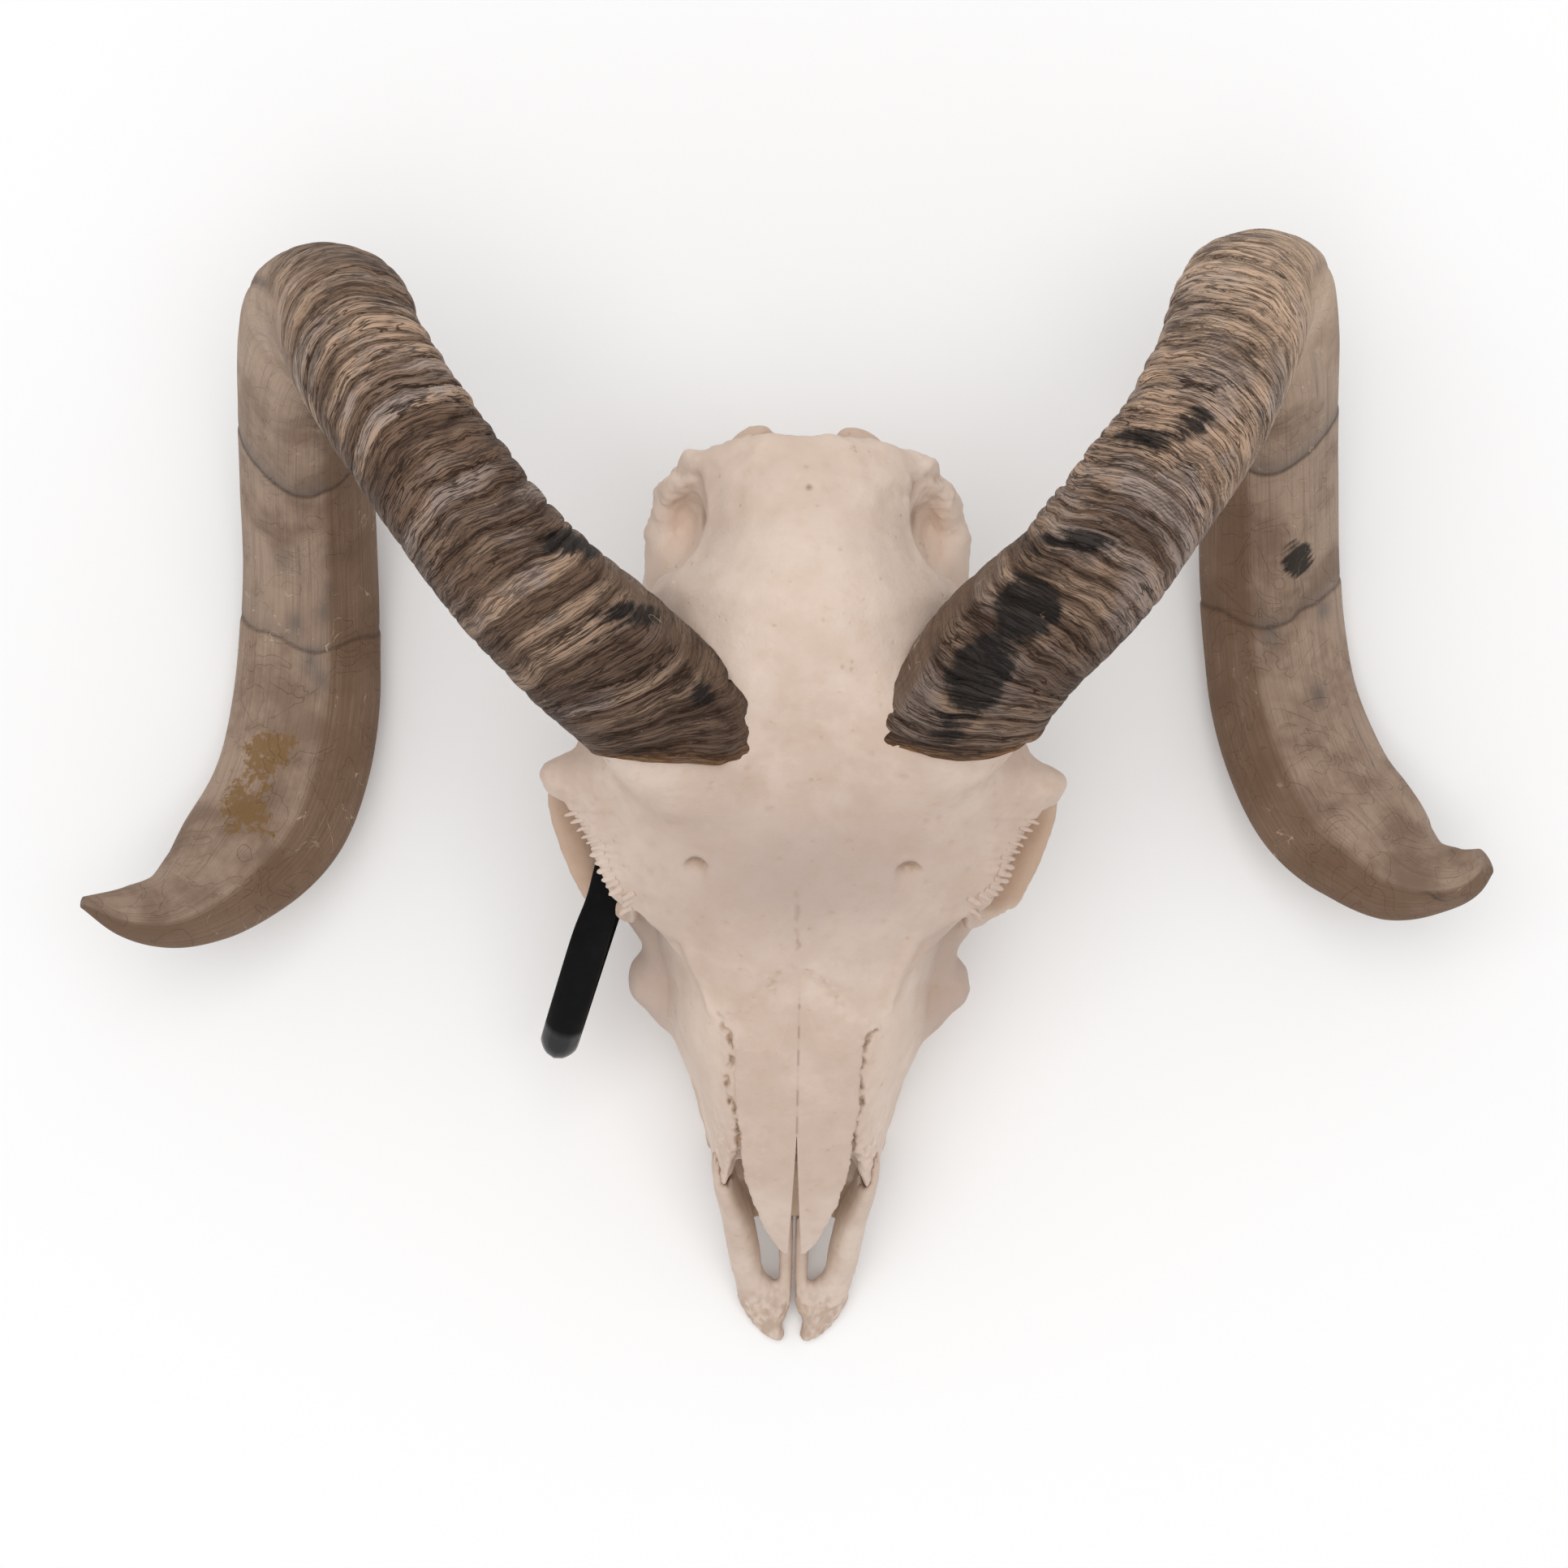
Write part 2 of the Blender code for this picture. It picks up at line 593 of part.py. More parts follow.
def tooth_row(side, collection):
    """Six cheek teeth that grow longer and wider backwards, their crowns on one sloping plane."""
    start = PREMOLAR_Y - TOOTH_LENGTHS[0] / 2
    run = sum(TOOTH_LENGTHS)
    place = start
    for number, (length, width) in enumerate(zip(TOOTH_LENGTHS, TOOTH_WIDTHS)):
        middle = place + length / 2
        share = (middle - start) / run
        x = side * (TOOTH_ROW_X[0] + (TOOTH_ROW_X[1] - TOOTH_ROW_X[0]) * share)
        crown = (middle - start) * math.tan(NOSE_DOWN)
        size = (width, length + 0.6, TOOTH_CROWN + 10)
        centre = (x, middle, crown + size[2] / 2 - TOOTH_SINK)
        block(f"tooth_{number}", centre, size, collection, (NOSE_DOWN, 0, 0), 1.8)
        place += length


def cranium_pieces(collection):
    """Every form that the braincase and face are fused from, apart from the face itself."""
    roof_form(collection)
    pillar_form(collection)
    ellipsoid("braincase", (0, 50, 110), (35.5, 39, 35), collection)
    ellipsoid("back_of_head", (0, 75, 108), (33, 13, 26), collection)
    block("palate_front", (0, -113, 17.8), (26, 20, 4.2), collection, (NOSE_DOWN, 0, 0), 1.2)
    for _, side in SIDES:
        orbit_rim(side, collection)
        sweep("cheek_bar", CHEEK_BAR, side, collection, 40)
        sweep("neck_ridge", NECK_RIDGE, side, collection)
        horn_neck(HORN_LEFT if side > 0 else HORN_RIGHT, collection)
        for name, stations in SIDE_BARS:
            sweep(name, stations, side, collection, 18)
        side_ellipsoids(SIDE_MASSES, side, collection)
        tooth_row(side, collection)


def cranium_cutters(collection):
    """Eye sockets, air passages, the great hole of the neck and the small openings."""
    places = np.linspace(NOSE_CAVITY[0][0], NOSE_CAVITY[-1][0], 30)
    rows = smooth_rows(NOSE_CAVITY, places)
    across, up = oval(24, 2.6)
    half, top, floor = (rows[:, column][:, None] for column in (1, 2, 3))
    height = (top + floor) / 2 + (top - floor) / 2 * up
    cross_loft("nose_cavity", places, half * across * (1 - 0.15 * up), height, collection)
    sweep("throat", THROAT, 1, collection, 14)
    sweep("neck_hole", NECK_HOLE, 1, collection, 12)
    for _, side in SIDES:
        turn, middle = orbit_place(side)
        inward = turn @ Vector((-SOCKET_INWARD * side, 0, 0))
        ellipsoid("socket", middle + inward, SOCKET_RADII, collection, turn.to_euler())
        side_ellipsoids(SIDE_HOLLOWS, side, collection)
        sweep("cheek_hole", CHEEK_HOLE, side, collection, 8)


def face_room(extra, collection):
    """A box in front of the joint between braincase and face, longer by the extra."""
    (back, top), (front, bottom) = FACE_JOINT
    turn = math.atan2(front - back, top - bottom)
    reach = CUTTER_SIZE / 2 - extra
    middle = (0, (back + front) / 2 - math.cos(turn) * reach, (top + bottom) / 2 - math.sin(turn) * reach)
    return block("face_room", middle, (CUTTER_SIZE,) * 3, collection, (turn, 0, 0), CORNER)


def cheek_room(side, extra, collection):
    """A box round one cheek bone, wider by the extra on every side."""
    low, high = (np.array(corner) for corner in CHEEK_ROOM)
    middle = (low + high) / 2 * (side, 1, 1)
    return block("cheek_room", middle, high - low + 2 * extra, collection, bevel=CORNER)


def left_room(extra, collection):
    """A box over the left half of the face, longer by the extra."""
    (back, top), (front, bottom) = FACE_JOINT
    middle = (CUTTER_SIZE / 2 - extra, front - CUTTER_SIZE / 4, (top + bottom) / 2)
    return block("left_room", middle, (CUTTER_SIZE,) * 3, collection, bevel=CORNER)


def part_off(whole, name, room, wider_room, collection):
    """The bone inside the room as a new object; the whole loses what is in the wider room."""
    bone = add_object(name, whole.data.copy(), collection)
    add_boolean(bone, "INTERSECT", operand=room)
    add_boolean(whole, "DIFFERENCE", operand=wider_room)
    for piece in (bone, whole):
        bake(piece)
        keep_largest(piece)
    return bone


def nasal_outline(rows, inner, margin, lift, blunt):
    """Sections of one nasal bone from its inner to its outer edge, below and then back above."""
    half, top, thick = (rows[:, column][:, None] for column in (1, 2, 3))
    share = np.linspace(0, 1, 6)
    x = inner + np.maximum(half + margin - inner, 0.8) * share
    bow = NASAL_ARCH * np.clip(np.abs(x) / np.maximum(half, 6.0), 0, 1.2) ** 2
    edge = 1 - (1 - blunt) * (np.abs(2 * share - 1) > 0.99)
    upper, lower = top - bow + lift, top - bow - thick - margin
    middle, reach = (upper + lower) / 2, (upper - lower) / 2 * edge
    x = np.concatenate([x, x[:, ::-1]], axis=1)
    z = np.concatenate([middle - reach, (middle + reach)[:, ::-1]], axis=1)
    return x, z


def nasal_bone(name, side, collection):
    """One nasal bone: a bowed plate, its inner edge drawn away from the midline at the tip."""
    places = np.linspace(NASALS[0][0], NASALS[-1][0], 17)
    rows = smooth_rows(NASALS, places)
    ahead = np.clip((-94 - places) / 32, 0, 1)[:, None]
    inner = NASAL_SLIT[0] + (NASAL_SLIT[1] - NASAL_SLIT[0]) * ahead**1.3
    x, z = nasal_outline(rows, inner, 0.0, 0.0, 0.5)
    return cross_loft(name, places, x * side, z, collection)


def nasal_bed(collection):
    """The room that the two nasal bones take in the face, with the gap round them."""
    places = np.linspace(NASALS[0][0], NASALS[-1][0], 17)
    rows = smooth_rows(NASALS, places)
    places[-1] += GAP * 2
    for name, side in SIDES:
        x, z = nasal_outline(rows, np.full((len(places), 1), -2.0), GAP, 9.0, 1.0)
        cross_loft(f"nasal_bed_{name}", places, x * side, z, collection)


def premaxilla(name, side, collection):
    """The front jaw bone: a rounded foot, a blade that climbs to the face and a rod inside."""
    pieces = new_collection(name + "_pieces")
    base = sweep(name, JAW_BLADE, side, collection, 34, 14, 2.4)
    sweep("rod", JAW_ROD, side, pieces, 16, 10)
    fuse(base, pieces, None, 0.9, 3, PREMAXILLA_FACES)
    return base


def horn_skin(stations, places, growth):
    """Rings round the horn's path at the given places, their points moved out by the growth.

    The rings lie askew near the root, as growth lines do: each point's place along the path is
    its ring's place plus a share of how far it lies across.
    """
    rows = by_length(stations)
    length = rows[-1, 0]
    turn = np.linspace(0, 2 * math.pi, HORN_SIDES, endpoint=False)
    wide = (np.sin(turn) + HORN_KEEL * np.sin(2 * turn)) / (1 + HORN_KEEL * 0.25)
    deep = np.cos(turn)
    side = math.copysign(1, stations[1][0])
    skew = HORN_SKEW * np.clip(1 - places / (length * RIDGED_SHARE), 0, 1)
    along = (places[:, None] + side * skew[:, None] * wide * stations[1][3]).ravel()
    path = smooth_rows(rows, along)[:, 1:]
    ahead = smooth_rows(rows, along + 1)[:, 1:4] - path[:, :3]
    ahead /= np.linalg.norm(ahead, axis=1)[:, None]
    outward = path[:, :3] - (0, *CURL_MIDDLE)
    outward[:, 0] = 0
    outward /= np.linalg.norm(outward, axis=1)[:, None]
    low, high = TWIST_SHARE
    down = np.clip((along / length - low) / (high - low), 0, 1)[:, None]
    outward = outward * (1 - down) + np.array((0, 0, -1)) * down
    outward -= ahead * np.sum(outward * ahead, axis=1)[:, None]
    outward /= np.linalg.norm(outward, axis=1)[:, None]
    across = np.cross(ahead, outward)
    size = (1 + growth[:, None] * (0.35 + 0.65 * np.clip(0.5 + deep, 0, 1))).ravel()
    wide, deep = (np.tile(share, len(places)) for share in (wide, deep))
    points = (
        path[:, :3]
        + across * (path[:, 3] * size * wide)[:, None]
        + outward * (path[:, 4] * size * deep)[:, None]
    )
    return points.reshape(len(places), HORN_SIDES, 3)


def horn_sheath(name, stations, collection):
    """The horn: ridged where it is young, smooth towards the tip."""
    length = by_length(stations)[-1, 0]
    ridged = length * RIDGED_SHARE
    count = np.arange(HORN_RIDGES + 1)
    foot = HORN_ROOT + (ridged - HORN_ROOT) * (count + 0.22 * np.sin(2.4 * count)) / HORN_RIDGES
    places = (foot[:-1, None] + np.diff(foot)[:, None] * (0.0, 0.45, 0.85)).ravel()
    growth = RIDGE_HEIGHT * np.tile((-0.4, 0.45, 1.0), HORN_RIDGES) * np.clip(1.25 - places / ridged, 0.25, 1)
    places = np.concatenate([places, np.linspace(ridged, length, SMOOTH_RINGS)])
    growth = np.concatenate([growth, np.zeros(SMOOTH_RINGS)])
    return loft(name, horn_skin(stations, places, growth), collection)


def horn_neck(stations, collection):
    """The bone collar that the sheath stands on: broad at its foot, narrower than the sheath above."""
    places = np.linspace(2.0, HORN_ROOT + 10, 9)
    return loft("horn_neck", horn_skin(stations, places, np.linspace(*NECK_GROWTH, 9)), collection)


def strap(collection):
    """A flat closed band that hangs round the cheek bar."""
    knots = np.array(STRAP_LOOP)
    table = np.concatenate([knots[-3:], knots, knots[:4]])
    order = np.arange(len(table)) - 3.0
    path = smooth_rows(np.column_stack([order, table]), np.arange(0, len(knots), 0.5))[:, 1:]
    ahead = np.roll(path, -1, axis=0) - np.roll(path, 1, axis=0)
    ahead /= np.linalg.norm(ahead, axis=1)[:, None]
    normal = np.column_stack([-ahead[:, 1], ahead[:, 0]])
    run = np.array((*STRAP_RUN, 0))
    wide = np.array((-STRAP_RUN[1], STRAP_RUN[0], 0))
    start = np.array((*STRAP_CROSSING, 0))
    fold = np.clip(path[:, :1] / path[:, 0].max(), 0, 1) ** 4
    upper = np.clip((path[:, 1] - 56) / 12, 0, 1)
    lean = STRAP_LEAN * upper * np.exp(-(((path[:, 0] - LEAN_PLACE[0]) / LEAN_PLACE[1]) ** 2))
    sideways = wide * np.cos(lean)[:, None] + np.array((0, 0, 1)) * np.sin(lean)[:, None]
    corners = ((-1, 0), (-0.9, -1), (0, -1), (0.9, -1), (1, 0), (0.9, 1), (0, 1), (-0.9, 1))
    rings = []
    for across, out in corners:
        line = path + normal * out * STRAP_THICKNESS / 2
        line[:, :1] -= STRAP_BOW * fold * across**2
        line = start + line[:, :1] * run + line[:, 1:] * (0, 0, 1)
        rings.append(line + sideways * across * STRAP_WIDTH / 2)
    points = np.stack(rings, axis=1)
    count, sides = points.shape[:2]
    faces = [
        (a * sides + b, (a + 1) % count * sides + b,
         (a + 1) % count * sides + (b + 1) % sides, a * sides + (b + 1) % sides)
        for a in range(count) for b in range(sides)
    ]
    return add_mesh("strap", points.reshape(-1, 3), faces, collection)


def paint(obj, name, colour, roughness):
    """Gives the object a plain material."""
    material = bpy.data.materials.get(name) or bpy.data.materials.new(name)
    material.use_nodes = True
    shader = material.node_tree.nodes["Principled BSDF"]
    shader.inputs["Base Color"].default_value = (*colour, 1)
    shader.inputs["Roughness"].default_value = roughness
    shader.inputs["Metallic"].default_value = 0
    obj.data.materials.clear()
    obj.data.materials.append(material)


def main():
    for obj in list(bpy.data.objects):
        bpy.data.objects.remove(obj)
    skull = new_collection("ram_skull")
    pieces = new_collection("cranium_pieces")
    cutters = new_collection("cutters")
    cranium = face_form(skull)
    cranium.name = "cranium"
    cranium_pieces(pieces)
    cranium_cutters(cutters)
    hide_cutters(cutters)
    fuse(cranium, pieces, cutters, VOXEL, SMOOTHING, CRANIUM_FACES)
    beds = new_collection("cutters")
    nasal_bed(beds)
    hide_cutters(beds)
    add_boolean(cranium, "DIFFERENCE", collection=beds)
    bake(cranium)
    keep_largest(cranium)
    remove_collection(beds)
    guide = new_collection("guide")
    band = swollen_copy(strap(skull), 2 * GAP, guide)
    add_boolean(cranium, "DIFFERENCE", operand=band)
    bake(cranium)
    keep_largest(cranium)
    room = swollen_copy(cranium, GAP, guide)
    for name, side in SIDES:
        nasal_bone(f"nasal_{name}", side, skull)
        jaw = premaxilla(f"premaxilla_{name}", side, skull)
        horn = horn_sheath(f"horn_{name}", HORN_LEFT if side > 0 else HORN_RIGHT, skull)
        for piece in (jaw, horn):
            add_boolean(piece, "DIFFERENCE", operand=room)
            bake(piece)
            keep_largest(piece)
    for name, side in SIDES:
        part_off(cranium, f"cheek_{name}", cheek_room(side, 0, guide), cheek_room(side, GAP, guide), skull)
    face = part_off(cranium, "face_right", face_room(0, guide), face_room(GAP, guide), skull)
    part_off(face, "face_left", left_room(0, guide), left_room(GAP, guide), skull)
    ground = block("ground", (0, 0, -10), (600, 600, 20), guide, bevel=CORNER)
    for obj in skull.objects:
        if min(vertex.co.z for vertex in obj.data.vertices) < 0:
            add_boolean(obj, "DIFFERENCE", operand=ground)
            bake(obj)
            keep_largest(obj)
    remove_collection(guide)
    corners = np.array([vertex.co for obj in skull.objects for vertex in obj.data.vertices])
    middle = (corners.min(0) + corners.max(0)) / 2
    for obj in skull.objects:
        obj.data.transform(Matrix.Translation((-middle[0], -middle[1], 0)))
        kind = obj.name.split("_")[0]
        paint(obj, *FINISHES.get(kind, FINISHES["bone"]))


main()
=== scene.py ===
import math

import bmesh
import bpy
import numpy as np
from mathutils import Euler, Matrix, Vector
from mathutils.bvhtree import BVHTree


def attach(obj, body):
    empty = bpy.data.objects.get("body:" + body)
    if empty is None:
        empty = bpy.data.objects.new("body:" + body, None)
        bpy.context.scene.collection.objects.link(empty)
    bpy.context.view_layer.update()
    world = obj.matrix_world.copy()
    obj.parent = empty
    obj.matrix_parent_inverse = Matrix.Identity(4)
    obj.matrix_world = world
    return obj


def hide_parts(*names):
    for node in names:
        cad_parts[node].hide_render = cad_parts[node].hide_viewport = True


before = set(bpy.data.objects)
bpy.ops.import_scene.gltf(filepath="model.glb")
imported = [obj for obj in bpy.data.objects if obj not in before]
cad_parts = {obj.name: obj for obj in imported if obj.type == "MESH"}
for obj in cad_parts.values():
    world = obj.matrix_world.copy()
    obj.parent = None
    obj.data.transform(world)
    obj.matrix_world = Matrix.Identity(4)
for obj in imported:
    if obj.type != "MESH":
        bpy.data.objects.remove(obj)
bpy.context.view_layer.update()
millimetre = 0.001
tableShift = np.array((3.43955, 5.80191, 0.0))  # from the tables' own place to the frame's
bothSides = (("left", 1), ("right", -1))
print("frame loaded")


def clamped(values):
    return np.clip(values, 0, 1)


# 0 at the start, 1 a run further on, and level beyond both. A run below 0 goes the other way.
def ramp(values, start, run):
    return clamped((values - start) / run)


# 1 at nothing, falling off to both sides: exp(-(away / reach)^2).
def bell(away, reach):
    return np.exp(-((away / reach) ** 2))


def unit(rows):
    return rows / np.linalg.norm(rows, axis=1)[:, None]


# Angles once round, evenly apart.
def roundTurn(count):
    return np.linspace(0, 2 * math.pi, count, endpoint=False)


# The size of a value to a power, with its own sign: makes a rounded box of a circle's sine and cosine.
def squared(values, power):
    return np.sign(values) * np.abs(values) ** power


# Rows read at other places of the first column, on a smooth curve through the table.
def smoothRows(table, places):
    table = np.array(table, float)
    key = table[:, 0]
    slopes = np.gradient(table, key, axis=0)
    low = np.clip(np.searchsorted(key, places, side="right") - 1, 0, len(key) - 2)
    span = (key[low + 1] - key[low])[:, None]
    part = (np.asarray(places)[:, None] - key[low][:, None]) / span
    ease = part * part * (3 - 2 * part)
    return (table[low] * (1 - ease) + table[low + 1] * ease
            + slopes[low] * span * part * (1 - part) ** 2 - slopes[low + 1] * span * part**2 * (1 - part))


# The distance run along x, y, z, put in front of a table as its first column.
def byLength(table):
    table = np.array(table, float)
    steps = np.linalg.norm(np.diff(table[:, :3], axis=0), axis=1)
    return np.column_stack([np.concatenate([[0.0], np.cumsum(steps)]), table])


# A number from -1 to 1 for each whole-number place, by mixing its digits with large odd numbers.
def scattered(spots, seed):
    mixed = np.uint64(seed * 7919 + 17)
    for axis, factor in enumerate((73856093, 19349663, 83492791)):
        mixed = mixed ^ spots[:, axis].astype(np.uint64) * np.uint64(factor)
    for shift, factor in ((13, 1274126177), (16, 2246822519)):
        mixed = (mixed ^ (mixed >> np.uint64(shift))) * np.uint64(factor)
    return ((mixed >> np.uint64(8)) & np.uint64(65535)).astype(float) / 32767.5 - 1


# Smooth noise: scattered numbers on a lattice of the given size, blended with an eased step each way.
def grain(points, size, seed=0):
    cell = np.asarray(points, float) / size + 1000.0
    low = np.floor(cell).astype(np.int64)
    part = cell - low
    ease = part * part * (3 - 2 * part)
    total = np.zeros(len(cell))
    for corner in range(8):
        step = np.array((corner & 1, corner >> 1 & 1, corner >> 2 & 1))
        total += scattered(low + step, seed) * np.prod(np.where(step, ease, 1 - ease), axis=1)
    return total


# Noise of several sizes, each half as large and half as strong as the one before.
def layers(points, size, count, seed=0):
    total = sum(grain(points, size / 2**level, seed + level) / 2**level for level in range(count))
    return total / (2 - 2 ** (1 - count))


# Quads between neighbouring rings of a grid. A closed one also joins its last ring to its first.
def gridFaces(rings, around, closed=False):
    row = np.arange(rings if closed else rings - 1)[:, None] * around
    beyond = (row + around) % (rings * around)
    side = np.arange(around)[None]
    after = (side + 1) % around
    return np.stack([row + side, row + after, beyond + after, beyond + side], axis=2).reshape(-1, 4).tolist()


# Work done on a mesh in its editable form.
def reform(mesh, work):
    form = bmesh.new()
    form.from_mesh(mesh)
    work(form)
    form.to_mesh(mesh)
    form.free()


def placed(name, data):
    made = bpy.data.objects.new(name, data)
    bpy.context.scene.collection.objects.link(made)
    return made


# A smooth-shaded object from points in millimetres of the tables' place, its faces turned outwards.
def addPiece(name, points, faces):
    mesh = bpy.data.meshes.new(name)
    mesh.from_pydata(((np.asarray(points) + tableShift) * millimetre).tolist(), [], faces)
    reform(mesh, lambda form: bmesh.ops.recalc_face_normals(form, faces=form.faces))
    mesh.shade_smooth()
    return placed(name, mesh)


# A closed skin over rings of points, rings x around x 3, with a fan of triangles to a point at each end.
def skinOver(name, rings):
    count, around = rings.shape[:2]
    points = np.concatenate([rings.reshape(-1, 3), rings[0].mean(0)[None], rings[-1].mean(0)[None]])
    side = np.arange(around)
    after = (side + 1) % around
    base = (count - 1) * around
    start = np.column_stack([np.full(around, count * around), after, side])
    end = np.column_stack([np.full(around, count * around + 1), base + side, base + after])
    return addPiece(name, points, gridFaces(count, around) + start.tolist() + end.tolist())


# The first of several objects takes in the others, smooth-shaded.
def joined(members):
    piece, *others = members
    reform(piece.data, lambda form: [form.from_mesh(other.data) for other in others])
    for other in others:
        bpy.data.objects.remove(other)
    piece.data.shade_smooth()
    return piece


# What a modifier with the given settings makes of a piece takes the place of its mesh.
def reworked(piece, kind, **settings):
    modifier = piece.modifiers.new("Work", kind)
    for setting, value in settings.items():
        setattr(modifier, setting, value)
    mesh = bpy.data.meshes.new_from_object(piece.evaluated_get(bpy.context.evaluated_depsgraph_get()))
    piece.modifiers.clear()
    piece.data = mesh
    mesh.shade_smooth()


def trianglesOf(mesh):
    return len(mesh.loops) - 2 * len(mesh.polygons)


def thinTo(piece, triangles):
    share = min(1.0, triangles / trianglesOf(piece.data))
    reworked(piece, "DECIMATE", ratio=share, use_collapse_triangulate=True)


# Numbers kept on the items of a mesh, in rows of the given width.
def gathered(items, key, width, kind=float):
    values = np.empty(len(items) * width, dtype=kind)
    items.foreach_get(key, values)
    return values.reshape(-1, width)


def pointsOf(mesh):
    return gathered(mesh.vertices, "co", 3) / millimetre - tableShift


def normalsOf(mesh):
    return gathered(mesh.vertex_normals, "vector", 3)


def edgesOf(mesh):
    return gathered(mesh.edges, "vertices", 2, np.int32)


def placePoints(mesh, points):
    mesh.vertices.foreach_set("co", ((points + tableShift) * millimetre).ravel())
    mesh.update()


def keepNumber(mesh, name, values):
    values = np.ascontiguousarray(values, dtype=np.float32)
    kind, key = ("FLOAT", "value") if values.ndim == 1 else ("FLOAT_VECTOR", "vector")
    mesh.attributes.new(name, kind, "POINT").data.foreach_set(key, values.ravel())


# The mean of each point's neighbours, for any values kept on the points.
def neighbourMean(values, edges):
    ends = np.concatenate([edges, edges[:, ::-1]])
    count = np.maximum(np.bincount(ends[:, 0], minlength=len(values)), 1)
    columns = values.reshape(len(values), -1)
    total = [np.bincount(ends[:, 0], column[ends[:, 1]], len(values)) for column in columns.T]
    return (np.stack(total, axis=1) / count[:, None]).reshape(values.shape)


# Each point moves a share of the way to its neighbours' mean and then a little more back, so that no size
# is lost.
def relax(points, edges, rounds, back=0.57, weight=1.0):
    for _ in range(rounds):
        for share in (0.55, -back):
            points = points + (neighbourMean(points, edges) - points) * share * weight
    return points


# Loose crumbs that an even skin leaves beside the main form are taken off.
def dropCrumbs(mesh):
    edges = edgesOf(mesh)
    least = np.arange(len(mesh.vertices))  # becomes the first point of each point's shell
    while True:
        lower = least.copy()
        np.minimum.at(lower, edges, least[edges].min(axis=1)[:, None])
        lower = lower[lower]
        if np.array_equal(lower, least):
            break
        least = lower
    loose = np.flatnonzero(least != np.bincount(least).argmax()).tolist()

    def drop(form):
        form.verts.ensure_lookup_table()
        bmesh.ops.delete(form, geom=[form.verts[spot] for spot in loose], context="VERTS")

    reform(mesh, drop)


# How far a point lies inside (1) or outside (0) a soft-edged ball.
def near(points, middle, reach):
    away = (points - np.array(middle)) / np.array(reach)
    return np.exp(-np.sum(away * away, axis=1))


# The same for several balls of one size together.
def nearAny(points, middles, reach):
    return sum(near(points, middle, reach) for middle in middles)


# And for a ball and its mirror image.
def nearBoth(points, middle, reach):
    return nearAny(points, (middle, (-middle[0], *middle[1:])), reach)


# The least distance from each point to a line through the corners, seen from above where they have no height.
def fromLine(points, corners):
    flat = points[:, :len(corners[0])]
    least = np.full(len(points), 1e9)
    for start, end in zip(corners[:-1], corners[1:]):
        start, run = np.array(start, float), np.subtract(end, start)
        part = clamped(((flat - start) @ run) / (run @ run))
        least = np.minimum(least, np.linalg.norm(flat - start - part[:, None] * run, axis=1))
    return least


# What an operator does with a reading: a node of its own. The two values change places where it is turned.
def operator(name, turned=False):
    return lambda self, other: self.finish.node(
        "ShaderNodeMath", {"operation": name}, dict(enumerate((other, self) if turned else (self, other))))


# A number or colour inside a material, so that its maths can be written as an ordinary sum.
class Reading:
    __add__ = __radd__ = operator("ADD")
    __mul__ = __rmul__ = operator("MULTIPLY")
    __sub__ = operator("SUBTRACT")
    __rsub__ = operator("SUBTRACT", True)

    def __init__(self, finish, socket):
        self.finish = finish
        self.socket = socket

    # Runs from 0 at low to 1 at high, and stays there.
    def between(self, low, high):
        return self.finish.node("ShaderNodeMapRange", {"interpolation_type": "SMOOTHSTEP"},
                                {"Value": self, "From Min": low, "From Max": high})


# A material under its maker's name. Its colours are named in its look; constants are the same all over it.
class Finish:
    def __init__(self, name, look, constants):
        self.look = look
        self.material = bpy.data.materials.new(name)
        self.material.use_nodes = True
        self.shader = self.material.node_tree.nodes["Principled BSDF"]
        self.lay(constants)

    # Any node: its type, its settings, then what goes into its sockets; gives back one output.
    def node(self, kind, settings=None, inputs=None, output=0):
        made = self.material.node_tree.nodes.new(kind)
        for setting, value in (settings or {}).items():
            setattr(made, setting, value)
        self.lay(inputs or {}, made)
        return Reading(self, made.outputs[output])

    # Values or readings into a node's sockets, or into those of the surface itself.
    def lay(self, inputs, node=None):
        for key, value in inputs.items():
            socket = (node or self.shader).inputs[key]
            if isinstance(value, Reading):
                self.material.node_tree.links.new(value.socket, socket)
            else:
                socket.default_value = value

    # Two colours, named ones or readings, by the share of the second.
    def mix(self, share, first, second):
        first, second = (value if isinstance(value, Reading) else (*self.look[value], 1.0)
                         for value in (first, second))
        return self.node("ShaderNodeMix", {"data_type": "RGBA"}, {0: share, 6: first, 7: second}, 2)

    # Named colours laid one after another over the first, each by its share.
    def over(self, colour, *covers):
        for share, cover in covers:
            colour = self.mix(share, colour, cover)
        return colour

    def read(self, name, output="Fac"):
        return self.node("ShaderNodeAttribute", {"attribute_name": name}, output=output)

    def place(self):
        return self.node("ShaderNodeTexCoord", output="Object")

    def noise(self, vector, scale, detail, roughness=0.55, distortion=0.0):
        return self.node("ShaderNodeTexNoise", None, {
            "Vector": vector, "Scale": scale, "Detail": detail, "Roughness": roughness,
            "Distortion": distortion})

    # Noise in a horn's own places, with one scale round it and another along it.
    def flowNoise(self, flow, across, along, *rest):
        return self.noise(self.node("ShaderNodeVectorMath", {"operation": "MULTIPLY"},
                                    {0: flow, 1: (across, across, along)}), 1.0, *rest)

    # Thin wandering lines, where a noise is near its middle value.
    def lines(self, noise, width):
        away = self.node("ShaderNodeMath", {"operation": "ABSOLUTE"}, {0: noise - 0.5})
        return 1.0 - away.between(0.0, width)

    # The material, once its colour, its roughness and the height of its relief are laid on.
    def finished(self, colour, roughness, height, strength):
        bump = self.node("ShaderNodeBump", None, {
            "Height": height, "Distance": self.look["bump"], "Strength": strength})
        self.lay({"Base Color": colour, "Roughness": roughness, "Normal": bump})
        return self.material


